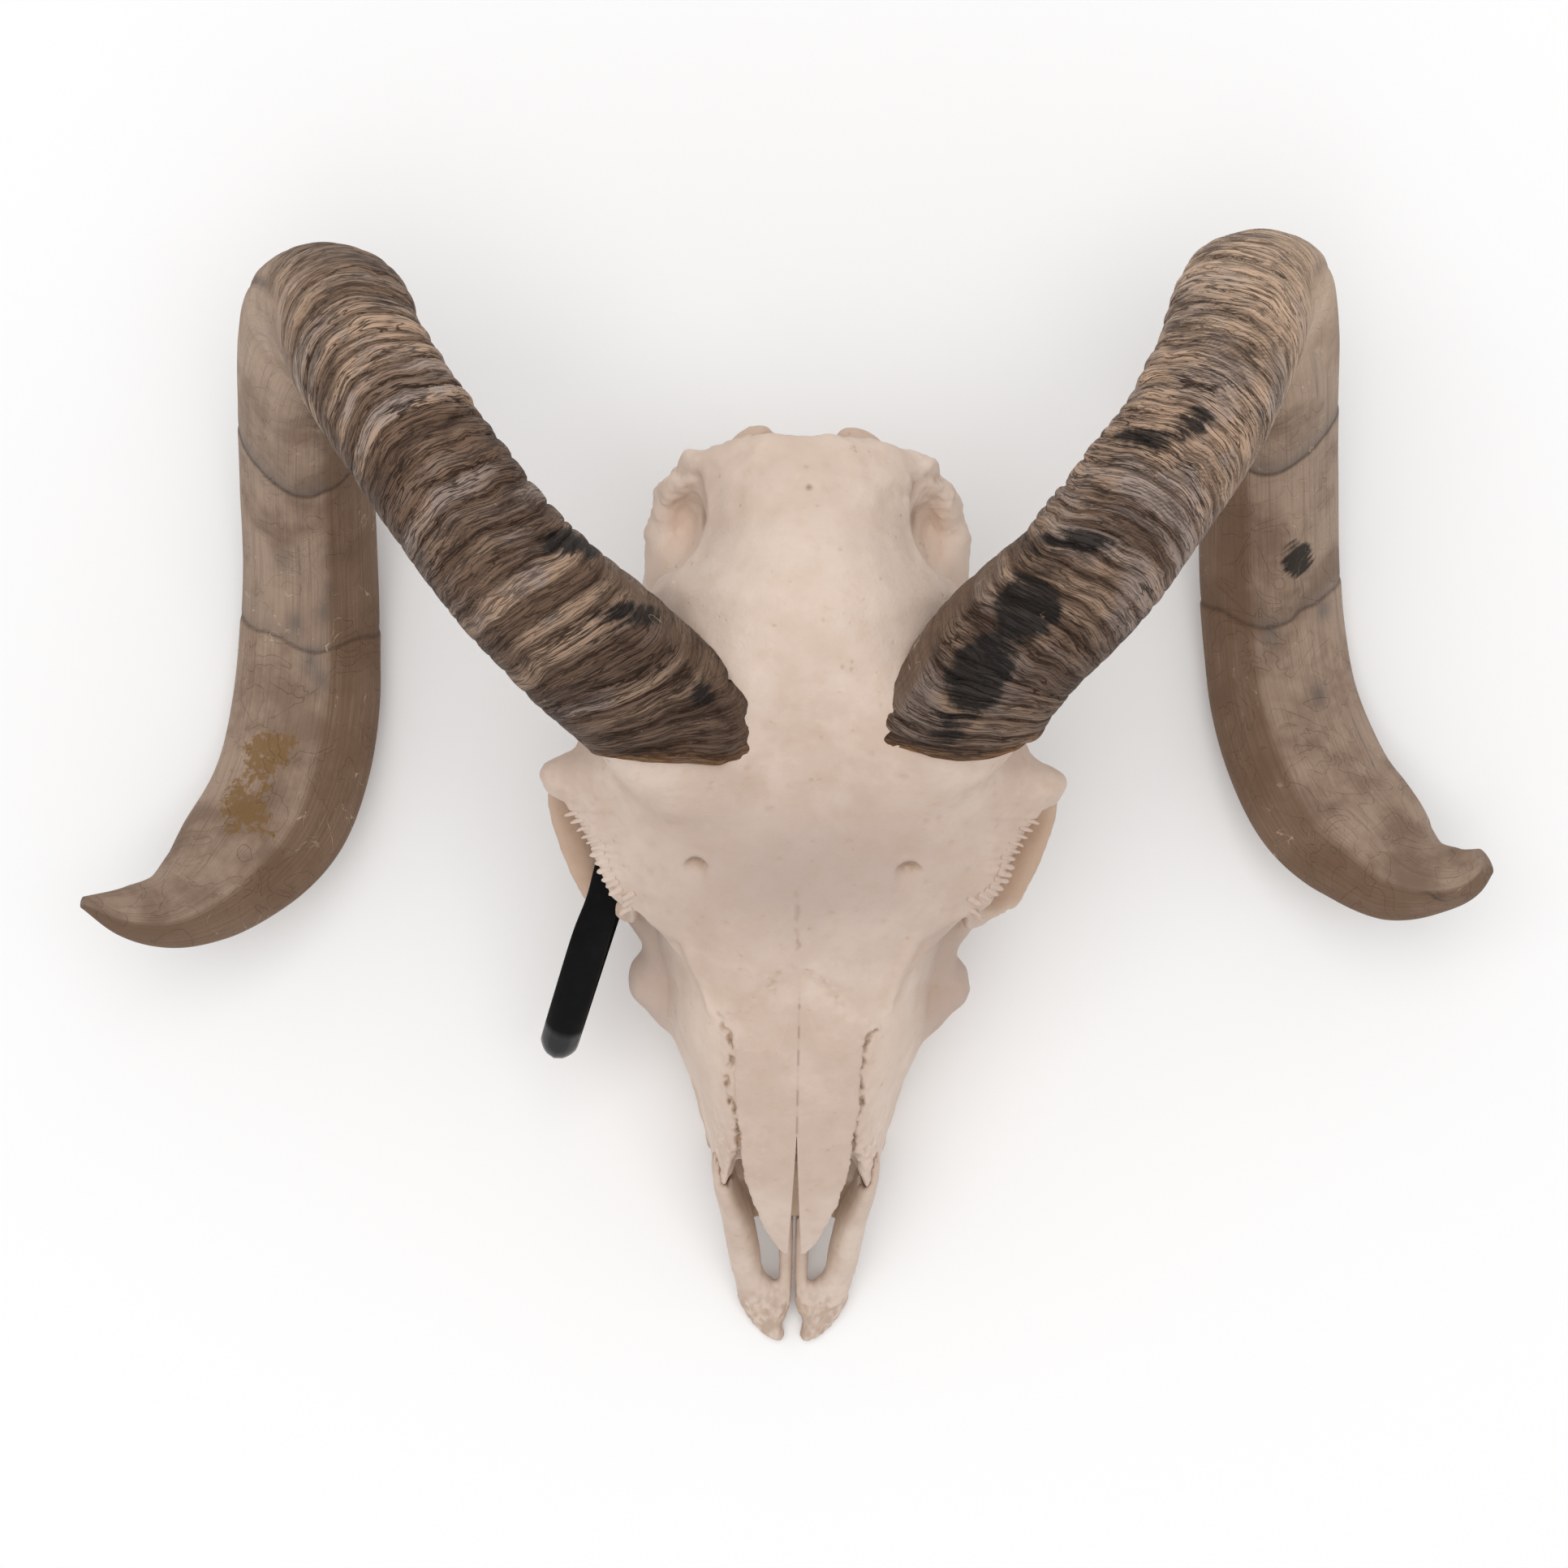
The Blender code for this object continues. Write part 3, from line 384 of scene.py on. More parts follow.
# Dry, clean bone: cream with faint pores. Tan in hollows and on faces turned down is partly stain and partly
# painted shade, the fair colour also paints light, and the seam colour also paints shade in holes.
boneFinish = {
    "cream": (0.600, 0.462, 0.378),
    "pale": (0.690, 0.560, 0.475),
    "tan": (0.500, 0.345, 0.235),
    "amber": (0.470, 0.262, 0.130),
    "grey": (0.430, 0.325, 0.275),
    # fair bone, also used as painted light
    "fair": (0.790, 0.645, 0.540),
    # dark seams, also used as painted shade in holes
    "seam": (0.215, 0.130, 0.075),
    "bump": 0.0004,
}


def boneMaterial():
    finish = Finish("dry bone", boneFinish, {"Specular IOR Level": 0.35})
    place = finish.place()
    cloud = finish.noise(place, 28.0, 4.0)
    mottle = finish.noise(place, 85.0, 5.0, 0.62)
    fleck = finish.noise(place, 210.0, 4.0, 0.6)
    fine = finish.noise(place, 900.0, 3.0, 0.6)
    pore = finish.node("ShaderNodeTexVoronoi", None, {"Vector": place, "Scale": 330.0}, "Distance")
    pores = (1.0 - pore.between(0.05, 0.30)) * fleck.between(0.52, 0.70)
    colour = finish.over(
        finish.mix(cloud.between(0.38, 0.66), "cream", "pale"),
        (mottle.between(0.44, 0.66) * 0.15, "tan"),
        ((1.0 - mottle.between(0.34, 0.50)) * 0.22, "fair"),
        (fleck.between(0.45, 0.75) * 0.26, "tan"),
        (finish.read("grey"), "grey"),
        # Painted light: the temples, the snout's sides and the crown made fairer.
        (finish.read("fair"), "fair"),
        # Tan where the bone is hollow or faces down: partly stain, mostly painted shade.
        (finish.read("hollow") * (0.55 + 0.5 * fleck), "tan"),
        (finish.read("amber") * (0.45 + 0.8 * cloud), "amber"),
        (pores * 0.45, "tan"),
        # Dark seams, and painted shade in holes, nerve openings and slits.
        (finish.read("seam"), "seam"))
    relief = mottle * 0.9 + fleck * 0.6 + fine * 0.35 - pores * 0.9
    return finish.finished(colour, 0.52 + 0.22 * fleck, relief, 0.7)


# Horn: light growth rings parted by bundles of dark lines on the young part, smooth and fibrous towards the
# tip. Painted shade along the keel, at the growth seams and dark spots, and, with its own brown, on the inner
# face.
hornFinish = {
    "ringLight": (0.540, 0.362, 0.250),
    "ringGrey": (0.430, 0.330, 0.280),
    "ringMid": (0.176, 0.104, 0.066),
    "ringDark": (0.034, 0.016, 0.009),
    "base": (0.070, 0.042, 0.029),          # over the first part of the horn
    "honey": (0.680, 0.480, 0.335),
    "smoothLight": (0.375, 0.268, 0.198),
    "smoothMid": (0.222, 0.147, 0.103),
    "smoothDark": (0.100, 0.059, 0.038),
    # the inner face's brown, darkened further as painted shade
    "innerBrownAndShade": (0.150, 0.086, 0.049),
    # smudges, and painted shade
    "smudge_and_shade": (0.110, 0.095, 0.088),
    "black": (0.014, 0.011, 0.010),
    "moss": (0.190, 0.098, 0.022),
    "scratch": (0.520, 0.400, 0.280),
    "rim": (0.260, 0.125, 0.050),
    "bump": 0.0008,
}


def hornMaterial():
    finish = Finish("ram horn", hornFinish, {"Specular IOR Level": 0.22})
    flow = finish.read("flow", "Vector")  # round the horn and along it, in millimetres
    place = finish.place()
    smooth = finish.read("smooth")
    band = finish.flowNoise(flow, 0.030, 0.16, 4.0, 0.6)
    thread = finish.flowNoise(flow, 0.055, 0.62, 3.0, 0.55, 0.25)
    hair = finish.flowNoise(flow, 0.08, 1.5, 3.0, 0.6, 0.2)
    fibre = finish.flowNoise(flow, 1.5, 0.030, 4.0, 0.6)
    streak = finish.flowNoise(flow, 0.45, 0.012, 3.0, 0.6)
    cloud = finish.noise(place, 46.0, 4.0, 0.6)
    patch = finish.noise(place, 120.0, 4.0, 0.65)
    fleck = finish.noise(place, 520.0, 3.0, 0.6)
    threads = finish.lines(thread, 0.030)
    hairs = finish.lines(hair, 0.034)
    scars = finish.lines(finish.noise(place, 70.0, 2.0, 0.5, 1.6), 0.010)
    bundle = band.between(0.40, 0.60)
    worn = cloud.between(0.50, 0.60)
    light = finish.read("light") * (0.45 + 1.1 * patch)
    honey = finish.read("honey") * (0.42 + 0.7 * patch)
    dark = finish.read("dark") * (0.55 + 0.75 * band)
    crests = finish.mix(cloud.between(0.44, 0.58), "ringLight", "ringGrey")
    ringed = finish.over(
        finish.mix(light.between(0.12, 0.54), "ringMid", crests),
        (honey, "honey"),
        (dark, "base"),
        (threads * (0.44 + 0.52 * bundle) * (1.0 - 0.45 * honey), "ringDark"),
        (hairs * (0.12 + 0.45 * bundle), "ringDark"))
    plain = finish.over(
        finish.mix(cloud.between(0.36, 0.62), "smoothMid", "smoothLight"),
        (fibre.between(0.44, 0.70) * 0.30, "smoothDark"),
        (streak.between(0.52, 0.72) * worn * 0.65, "smudge_and_shade"),
        # Painted shade beside the growth seams and at dark spots.
        (finish.read("shade") * (0.5 + 0.6 * cloud), "smudge_and_shade"),
        (honey * 0.7, "honey"),
        # The inner face: partly its own brown, partly painted shade.
        (finish.read("inner") * (0.40 + 0.7 * fibre), "innerBrownAndShade"),
        (dark * 0.75, "base"))
    stain = finish.read("stain") * (0.9 * patch + 0.7 * band + 0.9 * thread + 0.35 * fleck - 0.22 * light)
    crumbs = finish.read("moss") * (0.55 * patch + 0.55 * fleck)
    colour = finish.over(
        finish.mix(smooth, ringed, plain),
        # Dark ring grooves; at the keel and the growth seams partly painted shade.
        (finish.read("groove") * (0.60 + 0.35 * fleck), "ringDark"),
        (finish.read("knots") * 0.5, "rim"),
        (finish.read("rim") * (patch * 1.3), "rim"),
        (stain.between(0.72, 1.00) * 0.93, "black"),
        (scars * smooth * worn * 0.75, "scratch"),
        (crumbs.between(0.40, 0.49) * (0.5 + 0.5 * cloud), "moss"),
        (fleck.between(0.66, 0.80) * (1.0 - smooth) * 0.4, "ringLight"))
    ringedRelief = threads * -0.9 - hairs * 0.6 + patch * 0.5
    relief = (1.0 - smooth) * ringedRelief + smooth * (fibre * 0.35 - scars * 0.3) + fleck * 0.3
    return finish.finished(colour, 0.46 + 0.22 * fleck + 0.10 * patch, relief, 0.8)


# Black plastic, glossy where it is folded.
strapFinish = {
    "black": (0.0018, 0.0016, 0.0017),
    "worn": (0.0040, 0.0036, 0.0036),
    "bump": 0.00005,
}


def strapMaterial():
    finish = Finish("black plastic", strapFinish, {"Specular IOR Level": 0.09, "Coat Roughness": 0.12})
    wear = finish.noise(finish.place(), 260.0, 4.0, 0.6)
    finish.lay({"Coat Weight": finish.read("fold")})
    colour = finish.mix(wear.between(0.45, 0.75), "black", "worn")
    return finish.finished(colour, 0.30 + 0.2 * wear, wear, 0.4)


looks = {"bone": boneMaterial(), "horn": hornMaterial(), "black_plastic": strapMaterial()}
print("materials made")


# The piece takes the place of the nodes, where some are given, and gets its body and the look of its slot.
def finishPiece(piece, slot, *nodes):
    if nodes:
        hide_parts(*nodes)
    piece.data.materials.clear()
    piece.data.materials.append(looks[slot])
    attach(piece, "root")
    print(piece.name, trianglesOf(piece.data), "triangles")


# The fused bone of the head: its nodes' forms swollen a little so that they meet, with the nasal bones'
# forms as a filling under their bed, all wrapped in one even skin.
skull = {
    "nodes": ("cranium", "face_left", "face_right", "cheek_left", "cheek_right"),
    "swell": 0.22,          # millimetres
    "fillFrom": -96.0,      # the filling under the nasal bones ends here, towards the tips
    "fillDrop": 0.35,       # and lies lower than they do
    "spacing": 1.3,         # between the points of its first skin
    "rounds": 22,           # of smoothing
    "calmRounds": 60,       # further ones on the forehead
    "arcRounds": 45,        # and where the horns' bone necks rise from it
    "triangles": 196000,
    "unevenness": 0.20,     # height of the slow swells
    "roughness": 0.05,      # height of the fine grain
    "sutures": {
        "middle": (((-1.2, -28.3), (-1.0, -39.8), (-0.3, -42.6), (-2.2, -44.6), (-1.7, -47.0)),),
        "front": (
            ((3.3, -49.1), (8.5, -53.9), (10.5, -57.1), (12.2, -58.9), (14.3, -60.9), (16.3, -62.5),
             (20.4, -65.3)),
            ((-1.3, -48.1), (-5.9, -50.5), (-7.8, -53.4), (-10.6, -55.8), (-12.5, -60.0), (-16.5, -61.3),
             (-21.3, -61.5)),
        ),
        "side": (
            ((20.4, -65.3), (18.6, -67.3), (17.7, -70.2), (17.4, -72.7), (17.3, -76.0), (16.8, -79.3),
             (17.1, -81.0), (17.7, -84.0), (17.4, -86.1), (16.3, -90.7), (15.7, -93.7), (15.4, -96.2),
             (14.7, -101.8), (13.4, -111.4)),
            ((-21.3, -61.5), (-19.7, -62.7), (-20.9, -65.2), (-18.8, -66.7), (-18.4, -68.4), (-18.0, -71.2),
             (-17.7, -74.9), (-18.7, -76.9), (-19.6, -78.1), (-19.0, -80.5), (-19.4, -83.1), (-17.4, -86.7),
             (-16.3, -90.8), (-15.8, -95.2), (-15.4, -102.4), (-13.6, -111.0)),
        ),
    },
    "openParts": ((-71, -64.5), (-76, -73), (-81.5, -78.5), (-89, -84), (-106, -91)),  # of side ones, in y
    "ridges": (
        ((-48.0, -36.3, 99.0), (-41.3, -39.3, 103.0), (-30.7, -41.8, 106.7), (-26.2, -54.1, 97.5),
         (-23.3, -60.5, 96.2)),
        ((43.7, -33.4, 103.9), (37.3, -36.7, 106.1), (30.5, -40.7, 107.7), (26.1, -51.0, 101.6),
         (23.9, -59.3, 95.9)),
    ),
    "ridgeHeight": 1.1,
    "crossRidge": ((-52, 42), (-34, 49), (-14, 48), (0, 45), (14, 48), (34, 49), (52, 42)),
    "templeEdge": ((26.5, 74.0), (27.5, 66.0), (30.0, 58.0), (36.0, 50.5), (46.0, 44.0)),
    "templeLumps": (  # height, unevenness (strength, size, seed and stretch), middle and reach
        (0.9, None, (42.5, 61, 106), (1.8, 13, 7)),
        (0.0, (0.5, 2.4, 69, (1, 0.12, 0.5)), (36, 62, 106), (8, 12, 9)),
        (0.3, (1.9, 5.5, 55, 1), (36, 80, 114), (12, 7, 15)),
        (1.1, None, (31.0, 84.5, 118), (2.6, 2.4, 12)),
        (-1.7, None, (34.2, 80.6, 114), (2.6, 1.7, 12)),
        (0.0, (0.9, 6.5, 57, 1), (52, 66, 104), (8, 13, 16)),
    ),
    "slits": ((-27.3, 69.3, 114.5), (27.7, 70.3, 113.3)),  # in the temples
    "openings": ((28.1, -21.8, 3.5), (-27.9, -21.6, 3.1)),  # of the nerves in the forehead: x, y, half width
    "pits": (
        (35.5, -8.4), (39.1, -14.9), (32.8, -25.5), (24.5, -28.0), (37.7, -32.7), (50.4, -1.8),
        (32.2, -9.5), (-35.2, -34.8), (-34.7, -10.9), (-49.5, 1.1), (-55.8, -6.4), (-60.9, -6.5),
        (0.0, 76.6), (12.0, -15.0), (-9.0, -7.0), (22.0, -36.0), (-20.0, -37.0), (-14.0, 4.0),
        (17.0, 8.0), (-40.0, -24.0), (44.0, -22.0), (8.0, -34.0), (-6.0, -20.0), (26.0, 2.0),
        (-24.0, -2.0), (-37.5, 66.0), (38.5, 67.0),
    ),
    "pitDepth": 0.48,
    "pitReach": 0.85,
    "above": 0.15,          # the least height of the skin over the table
}


# A merged copy of a node's form, swollen along its normals.
def mergedCopy(name, node, swell):
    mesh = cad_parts[node].data.copy()
    reform(mesh, lambda form: bmesh.ops.remove_doubles(form, verts=form.verts, dist=1e-6))
    placePoints(mesh, pointsOf(mesh) + normalsOf(mesh) * swell)
    return placed(name, mesh)


# What lies in front of the given y is cut off a form and the cut is closed.
def cutFront(form, limit):
    bmesh.ops.bisect_plane(form, geom=[*form.verts, *form.edges, *form.faces], clear_outer=True,
                           plane_co=(0, (limit + tableShift[1]) * millimetre, 0), plane_no=(0, -1, 0))
    bmesh.ops.holes_fill(form, edges=form.edges)


# How dark and open a side suture is at each y.
def openShare(y):
    return np.max([clamped((y - low) / 1.2 + 0.5) * clamped((high - y) / 1.2 + 0.5)
                   for low, high in skull["openParts"]], axis=0)


# The distances to the middle, front and side sutures, wandering a little as sutures do.
def sutureReach(points):
    sway = [0.7 * layers(points, 1.9, 2, seed) for seed in (31, 33)]
    bent = points + np.column_stack([*sway, np.zeros(len(points))])
    return [np.min([fromLine(bent, line) for line in lines], axis=0) for lines in skull["sutures"].values()]


# 1 on skin of the upper side that faces up.
def facingUp(points, normals):
    return clamped(normals[:, 2] * 2.5 - 0.3) * ramp(points[:, 2], 70, 6)


# Where a suture shows and where it is grown over.
def dashesAt(points):
    return clamped(1.6 * grain(points, 2.2, 41) + 0.55)


# How far each point lies across a nerve opening, in half widths, and beyond its bowed upper edge.
def byOpening(x, y, opening):
    middleX, middleY, half = opening
    along = (x - middleX) / half
    return along, y - (middleY + 2.3 - 1.9 * along * along)


# The rise of the bone that every piece of it shares: slow swells and a fine grain.
def boneRise(points):
    return skull["unevenness"] * layers(points, 13.0, 3, 1) + skull["roughness"] * layers(points, 2.2, 2, 5)


# The rise of the skull's skin at each point, in millimetres: ridges and nodules up, sutures, nerve openings
# and pits down, and rough places where the bone is crumbly or muscles held on.
def skullRise(points, normals):
    look = skull
    x, y, z = points.T
    wide = np.abs(x)
    up = facingUp(points, normals)
    rise = boneRise(points)
    for line in look["ridges"]:
        beside = fromLine(points + (-np.sign(line[0][0]) * 4.2, 0.8, 0), line)
        rise += up * (look["ridgeHeight"] * bell(fromLine(points, line), 2.2) - 0.9 * bell(beside, 3.2))
    middle, front, side = sutureReach(points)
    dashes = dashesAt(points)
    knots = clamped(2.2 * grain(points * (1, 1, 0), 1.5, 43) + 0.1)
    opened = openShare(y)
    rise -= up * 0.30 * bell(middle, 0.55) * dashes
    rise += up * bell(front, 1.5) * (0.10 + 0.42 * knots) - up * 0.28 * bell(front, 0.45) * dashes
    rise += up * bell(side, 1.9) * (0.05 + 0.55 * knots) * (0.4 + 0.6 * opened)
    rise -= up * (0.35 + 1.5 * opened) * bell(side, 0.62)
    for opening in look["openings"]:
        along, crest = byOpening(x, y, opening)
        inside = np.exp(-np.clip(np.abs(along) - 0.35, 0, 9) ** 2 * 5)
        rise += up * inside * 0.55 * bell(crest - 0.9, 1.0)
        groove = ramp(crest, 0, -0.5) * np.exp(np.minimum(crest, 0) / 4.5)
        rise -= up * 1.9 * groove * np.exp(-(along / 0.85) ** 4)
    for pitX, pitY in look["pits"]:
        rise -= up * look["pitDepth"] * np.exp(-((x - pitX) ** 2 + (y - pitY) ** 2) / look["pitReach"] ** 2)
    rise += up * 0.75 * bell(fromLine(points, look["crossRidge"]), 3.6)
    for mirror in (-1, 1):  # the temples, with their edges and the lumps behind them
        own = points * (mirror, 1, 1)
        rise += up * 0.7 * bell(fromLine(own, look["templeEdge"]), 1.5)
        for height, uneven, middle, reach in look["templeLumps"]:
            if uneven:
                strength, size, seed, stretch = uneven
                height = height + strength * layers(points * stretch, size, 2, seed)
            rise += height * near(own, middle, reach)
    crumbs = layers(points, 1.9, 2, 47)
    maxilla = nearBoth(points, (20, -100, 68), (5.5, 11, 14))
    sides = nearAny(points, ((19, -75, 90), (-19.5, -75, 90)), (2.6, 16, 9))
    rise += (1.15 * maxilla + 0.55 * sides) * np.where(crumbs > 0, crumbs * 1.2, crumbs)
    nape = nearAny(points, ((-35.4, 77.5, 117.7), (32.7, 78.5, 120.5)), (10, 11, 12))
    rise += (1.15 * nape + 0.50 * (ramp(y, 80, 8) * ramp(z, 95, 15))) * layers(points, 4.0, 3, 51)
    outerBack = ramp(y, 52, 14) * ramp(wide, 27, 8) * ramp(z, 85, 15)
    rise += outerBack * (1.25 * layers(points, 6.0, 2, 65) + 0.60 * np.abs(layers(points, 2.4, 2, 67)))
    rise += 0.75 * layers(points, 5.0, 2, 71) * ramp(y, 66, 10) * ramp(z, 112, 10)
    rise -= 1.2 * nearAny(points, look["slits"], (1.0, 4.0, 9))
    rim = ramp(wide, 47, 4) * ramp(z, 100, 3) * ramp(y, -2, -3) * ramp(y, -37, 3)
    comb = grain(np.column_stack([wide * 0.25, y * 1.15, z * 0.0]), 1.0, 53)
    return rise + rim * (0.32 * comb - 0.25)


# The skin is moved where the bone is finer than its solid: the cheek arches below the horns, the ragged front
# corners of the upper jaws, the front ends of the brows and the condyles.
def drawnIn(points):
    x, y, z = points.T
    wide = np.abs(x)
    arch = ramp(z, 98, -8) * ramp(wide, 50, 5) * bell(y - 14, 13)
    corner = ramp(wide, 19.5, -3.5) * ramp(y, -99, -13) * ramp(z, 45, 8)
    corner *= 10 + 3.5 * layers(points * (1, 0.3, 1), 2.6, 2, 59)
    knob = nearBoth(points, (52, -36.5, 89), (5.5, 5, 16))
    condyle = ramp(y, 87.5, 3) * ramp(z, 108, -5) * ramp(wide, 5, 3)
    aside = -np.sign(x) * (5.0 * arch + 5.6 * knob) + condyle * np.where(x < 0, -2.3, 0.12 * (wide - 8))
    ahead = corner + 2.6 * knob + condyle * np.clip(0.9 - 0.28 * (wide - 10), -2.5, 1.2)
    return points + np.column_stack([aside, ahead, np.zeros(len(x))])


# The values that the bone's material reads, 0 where none is given.
def boneValues(mesh, **given):
    for name in ("hollow", "grey", "amber", "seam", "fair"):
        keepNumber(mesh, name, clamped(given.get(name, 0.0) + np.zeros(len(mesh.vertices))))


# The skull's skin: smoothed, drawn in, made finer, raised to its relief and thinned again.
def skullSkin():
    look = skull
    members = [mergedCopy("skull_bone", look["nodes"][0], look["swell"])]
    members += [mergedCopy(node, node, look["swell"]) for node in look["nodes"][1:]]
    for side, _ in bothSides:
        filling = mergedCopy("filling", f"nasal_{side}", look["swell"])
        placePoints(filling.data, pointsOf(filling.data) - (0, 0, look["fillDrop"]))
        reform(filling.data, lambda form: cutFront(form, look["fillFrom"]))
        members.append(filling)
    piece = joined(members)
    reworked(piece, "REMESH", mode="VOXEL", voxel_size=look["spacing"] * millimetre)
    edges = edgesOf(piece.data)
    points = relax(pointsOf(piece.data), edges, look["rounds"])
    x, y, z = points.T
    calm = ramp(np.abs(x), 58, -8) * ramp(y, -46, 10) * ramp(y, 30, -10) * ramp(z, 98, 8)
    points = relax(points, edges, look["calmRounds"], 0.56, calm[:, None])
    arcs = nearBoth(points, (37, -3, 120), (17, 11, 16))
    for _ in range(look["arcRounds"]):
        points = points + (neighbourMean(points, edges) - points) * np.clip(arcs * 0.8, 0, 0.6)[:, None]
    placePoints(piece.data, drawnIn(points))
    reworked(piece, "SUBSURF", levels=1, render_levels=1)
    points, normals = pointsOf(piece.data), normalsOf(piece.data)
    points = points + normals * skullRise(points, normals)[:, None]
    points[:, 2] = np.maximum(points[:, 2], look["above"])
    placePoints(piece.data, points)
    print("skull skin", len(points), "points")
    thinTo(piece, look["triangles"])
    return piece


# Colours of the skull's skin: dark seams, with painted shade in holes; tan as painted shade in hollows, in
# the nostrils, low down and on faces turned down; amber cheek bars and nape, a grey forehead; painted light
# on the temples, snout and crown.
def skullPiece():
    look = skull
    piece = skullSkin()
    mesh = piece.data
    points, edges, normals = pointsOf(mesh), edgesOf(mesh), normalsOf(mesh)
    x, y, z = points.T
    wide = np.abs(x)
    broad = points
    for _ in range(10):
        broad = neighbourMean(broad, edges)
    sunk = np.sum((broad - points) * normals, axis=1)
    middle, front, side = sutureReach(points)
    up, dashes = facingUp(points, normals), dashesAt(points)
    knots = clamped(1.3 * grain(points, 1.3, 45) + 0.62)
    seam = up * (0.32 * bell(middle, 0.5) * dashes + 0.16 * bell(front, 0.45) * dashes
                 + (0.12 + 0.95 * openShare(y)) * knots * bell(side, 0.62))
    # Painted shade under the lips of the nerve openings, in the temple slits and in a hole at the back of the
    # crown.
    for opening in look["openings"]:
        along, crest = byOpening(x, y, opening)
        seam += up * 0.62 * bell(crest + 0.75, 0.62) * np.exp(-(along / 0.8) ** 4)
    hole = near(points, (0, 76.6, 141.9), (0.7, 0.7, 3))
    seam += 0.5 * nearAny(points, look["slits"], (0.7, 3.2, 8)) + 0.8 * hole
    cheekBars = ramp(wide, 44, 6) * ramp(z, 101, -6) * ramp(z, 45, 12) * (ramp(y, -38, 8) * ramp(y, 14, -8))
    nape = ramp(y, 87, 6) * ramp(wide, 5, 6) * ramp(z, 112, -10)
    nostril = ramp(y, -84, -10) * ramp(wide, 15.5, -2) * ramp(z, 78 + (y + 98) * 0.5, -5)
    # Painted shade: tan in hollows, in the nostrils, low down and on faces turned down.
    hollow = 0.45 * clamped(sunk * 2.2) + 0.75 * nostril + 0.30 * ramp(z, 40, -20)
    hollow += 0.35 * clamped(-normals[:, 2] * 1.5)
    forehead = near(points, (0, -20, 116), (42, 24, 32))
    cheeks = ramp(wide, 30, 8) * ramp(y, -34, -8)
    snout = ramp(wide, 17, 5) * ramp(y, -50, -10) * ramp(wide, 36, -6)
    # Painted light: the temple hollows, the snout's sides and the crown made fairer against their shade.
    temple = clamped(nearBoth(points, (34, 62, 112), (9, 14, 20)))
    boneValues(mesh, hollow=hollow * (1 - temple), grey=0.95 * forehead + 0.60 * cheeks, seam=seam,
               amber=0.50 * cheekBars + 0.42 * nape,
               fair=0.85 * temple + 0.30 * ramp(y, 20, 30) + 0.40 * snout)
    finishPiece(piece, "bone", *look["nodes"])
    return piece


skullBone = skullPiece()


# The places on the skull's skin straight below points given by x and y.
def onSkull(places, height=160.0):
    tree = BVHTree.FromObject(skullBone, bpy.context.evaluated_depsgraph_get())
    found = []
    for x, y in places:
        start = (np.array((x, y, height)) + tableShift) * millimetre
        hit = tree.ray_cast(Vector(start), Vector((0, 0, -1)))[0]
        found.append(np.array(hit) / millimetre - tableShift if hit else np.array((x, y, height)))
    return np.array(found)


# The row of thin bone teeth round each brow. Each is a short tapered rod from its root in the rim to its tip.
brow = {
    "tips": (  # x, y and how far it stands free
        (56.5, -19.0, 2.4), (56.3, -21.3, 2.6), (55.7, -23.3, 2.8), (54.9, -25.0, 2.6), (53.7, -26.9, 2.8),
        (52.3, -28.6, 2.6), (50.5, -29.9, 2.6), (47.6, -31.0, 3.4), (48.0, -34.6, 2.2), (49.0, -35.9, 2.0),
        (57.7, -17.2, 1.8), (58.6, -15.3, 1.6), (59.6, -13.2, 1.5), (61.0, -11.4, 1.4), (62.8, -9.4, 1.2),
        (-55.7, -18.1, 2.4), (-56.1, -19.9, 2.6), (-54.8, -22.0, 2.6), (-54.3, -24.2, 2.8),
        (-53.0, -26.4, 2.6), (-51.9, -28.3, 2.6), (-51.0, -30.2, 3.6), (-47.6, -31.2, 3.4),
        (-47.6, -33.5, 2.2), (-48.4, -35.6, 2.4), (-57.1, -16.6, 1.7), (-58.5, -15.2, 1.6),
        (-59.9, -13.3, 1.5), (-61.5, -11.3, 1.4), (-63.2, -9.4, 1.2),
    ),
    "thickness": (1.05, 0.62),      # radius at the root and near the tip
    "inward": 3.9,                  # from the tip to the root
    "sunk": 0.62,                   # how deep a root's middle lies in the bone
    "around": 12,
    "rings": 14,
}


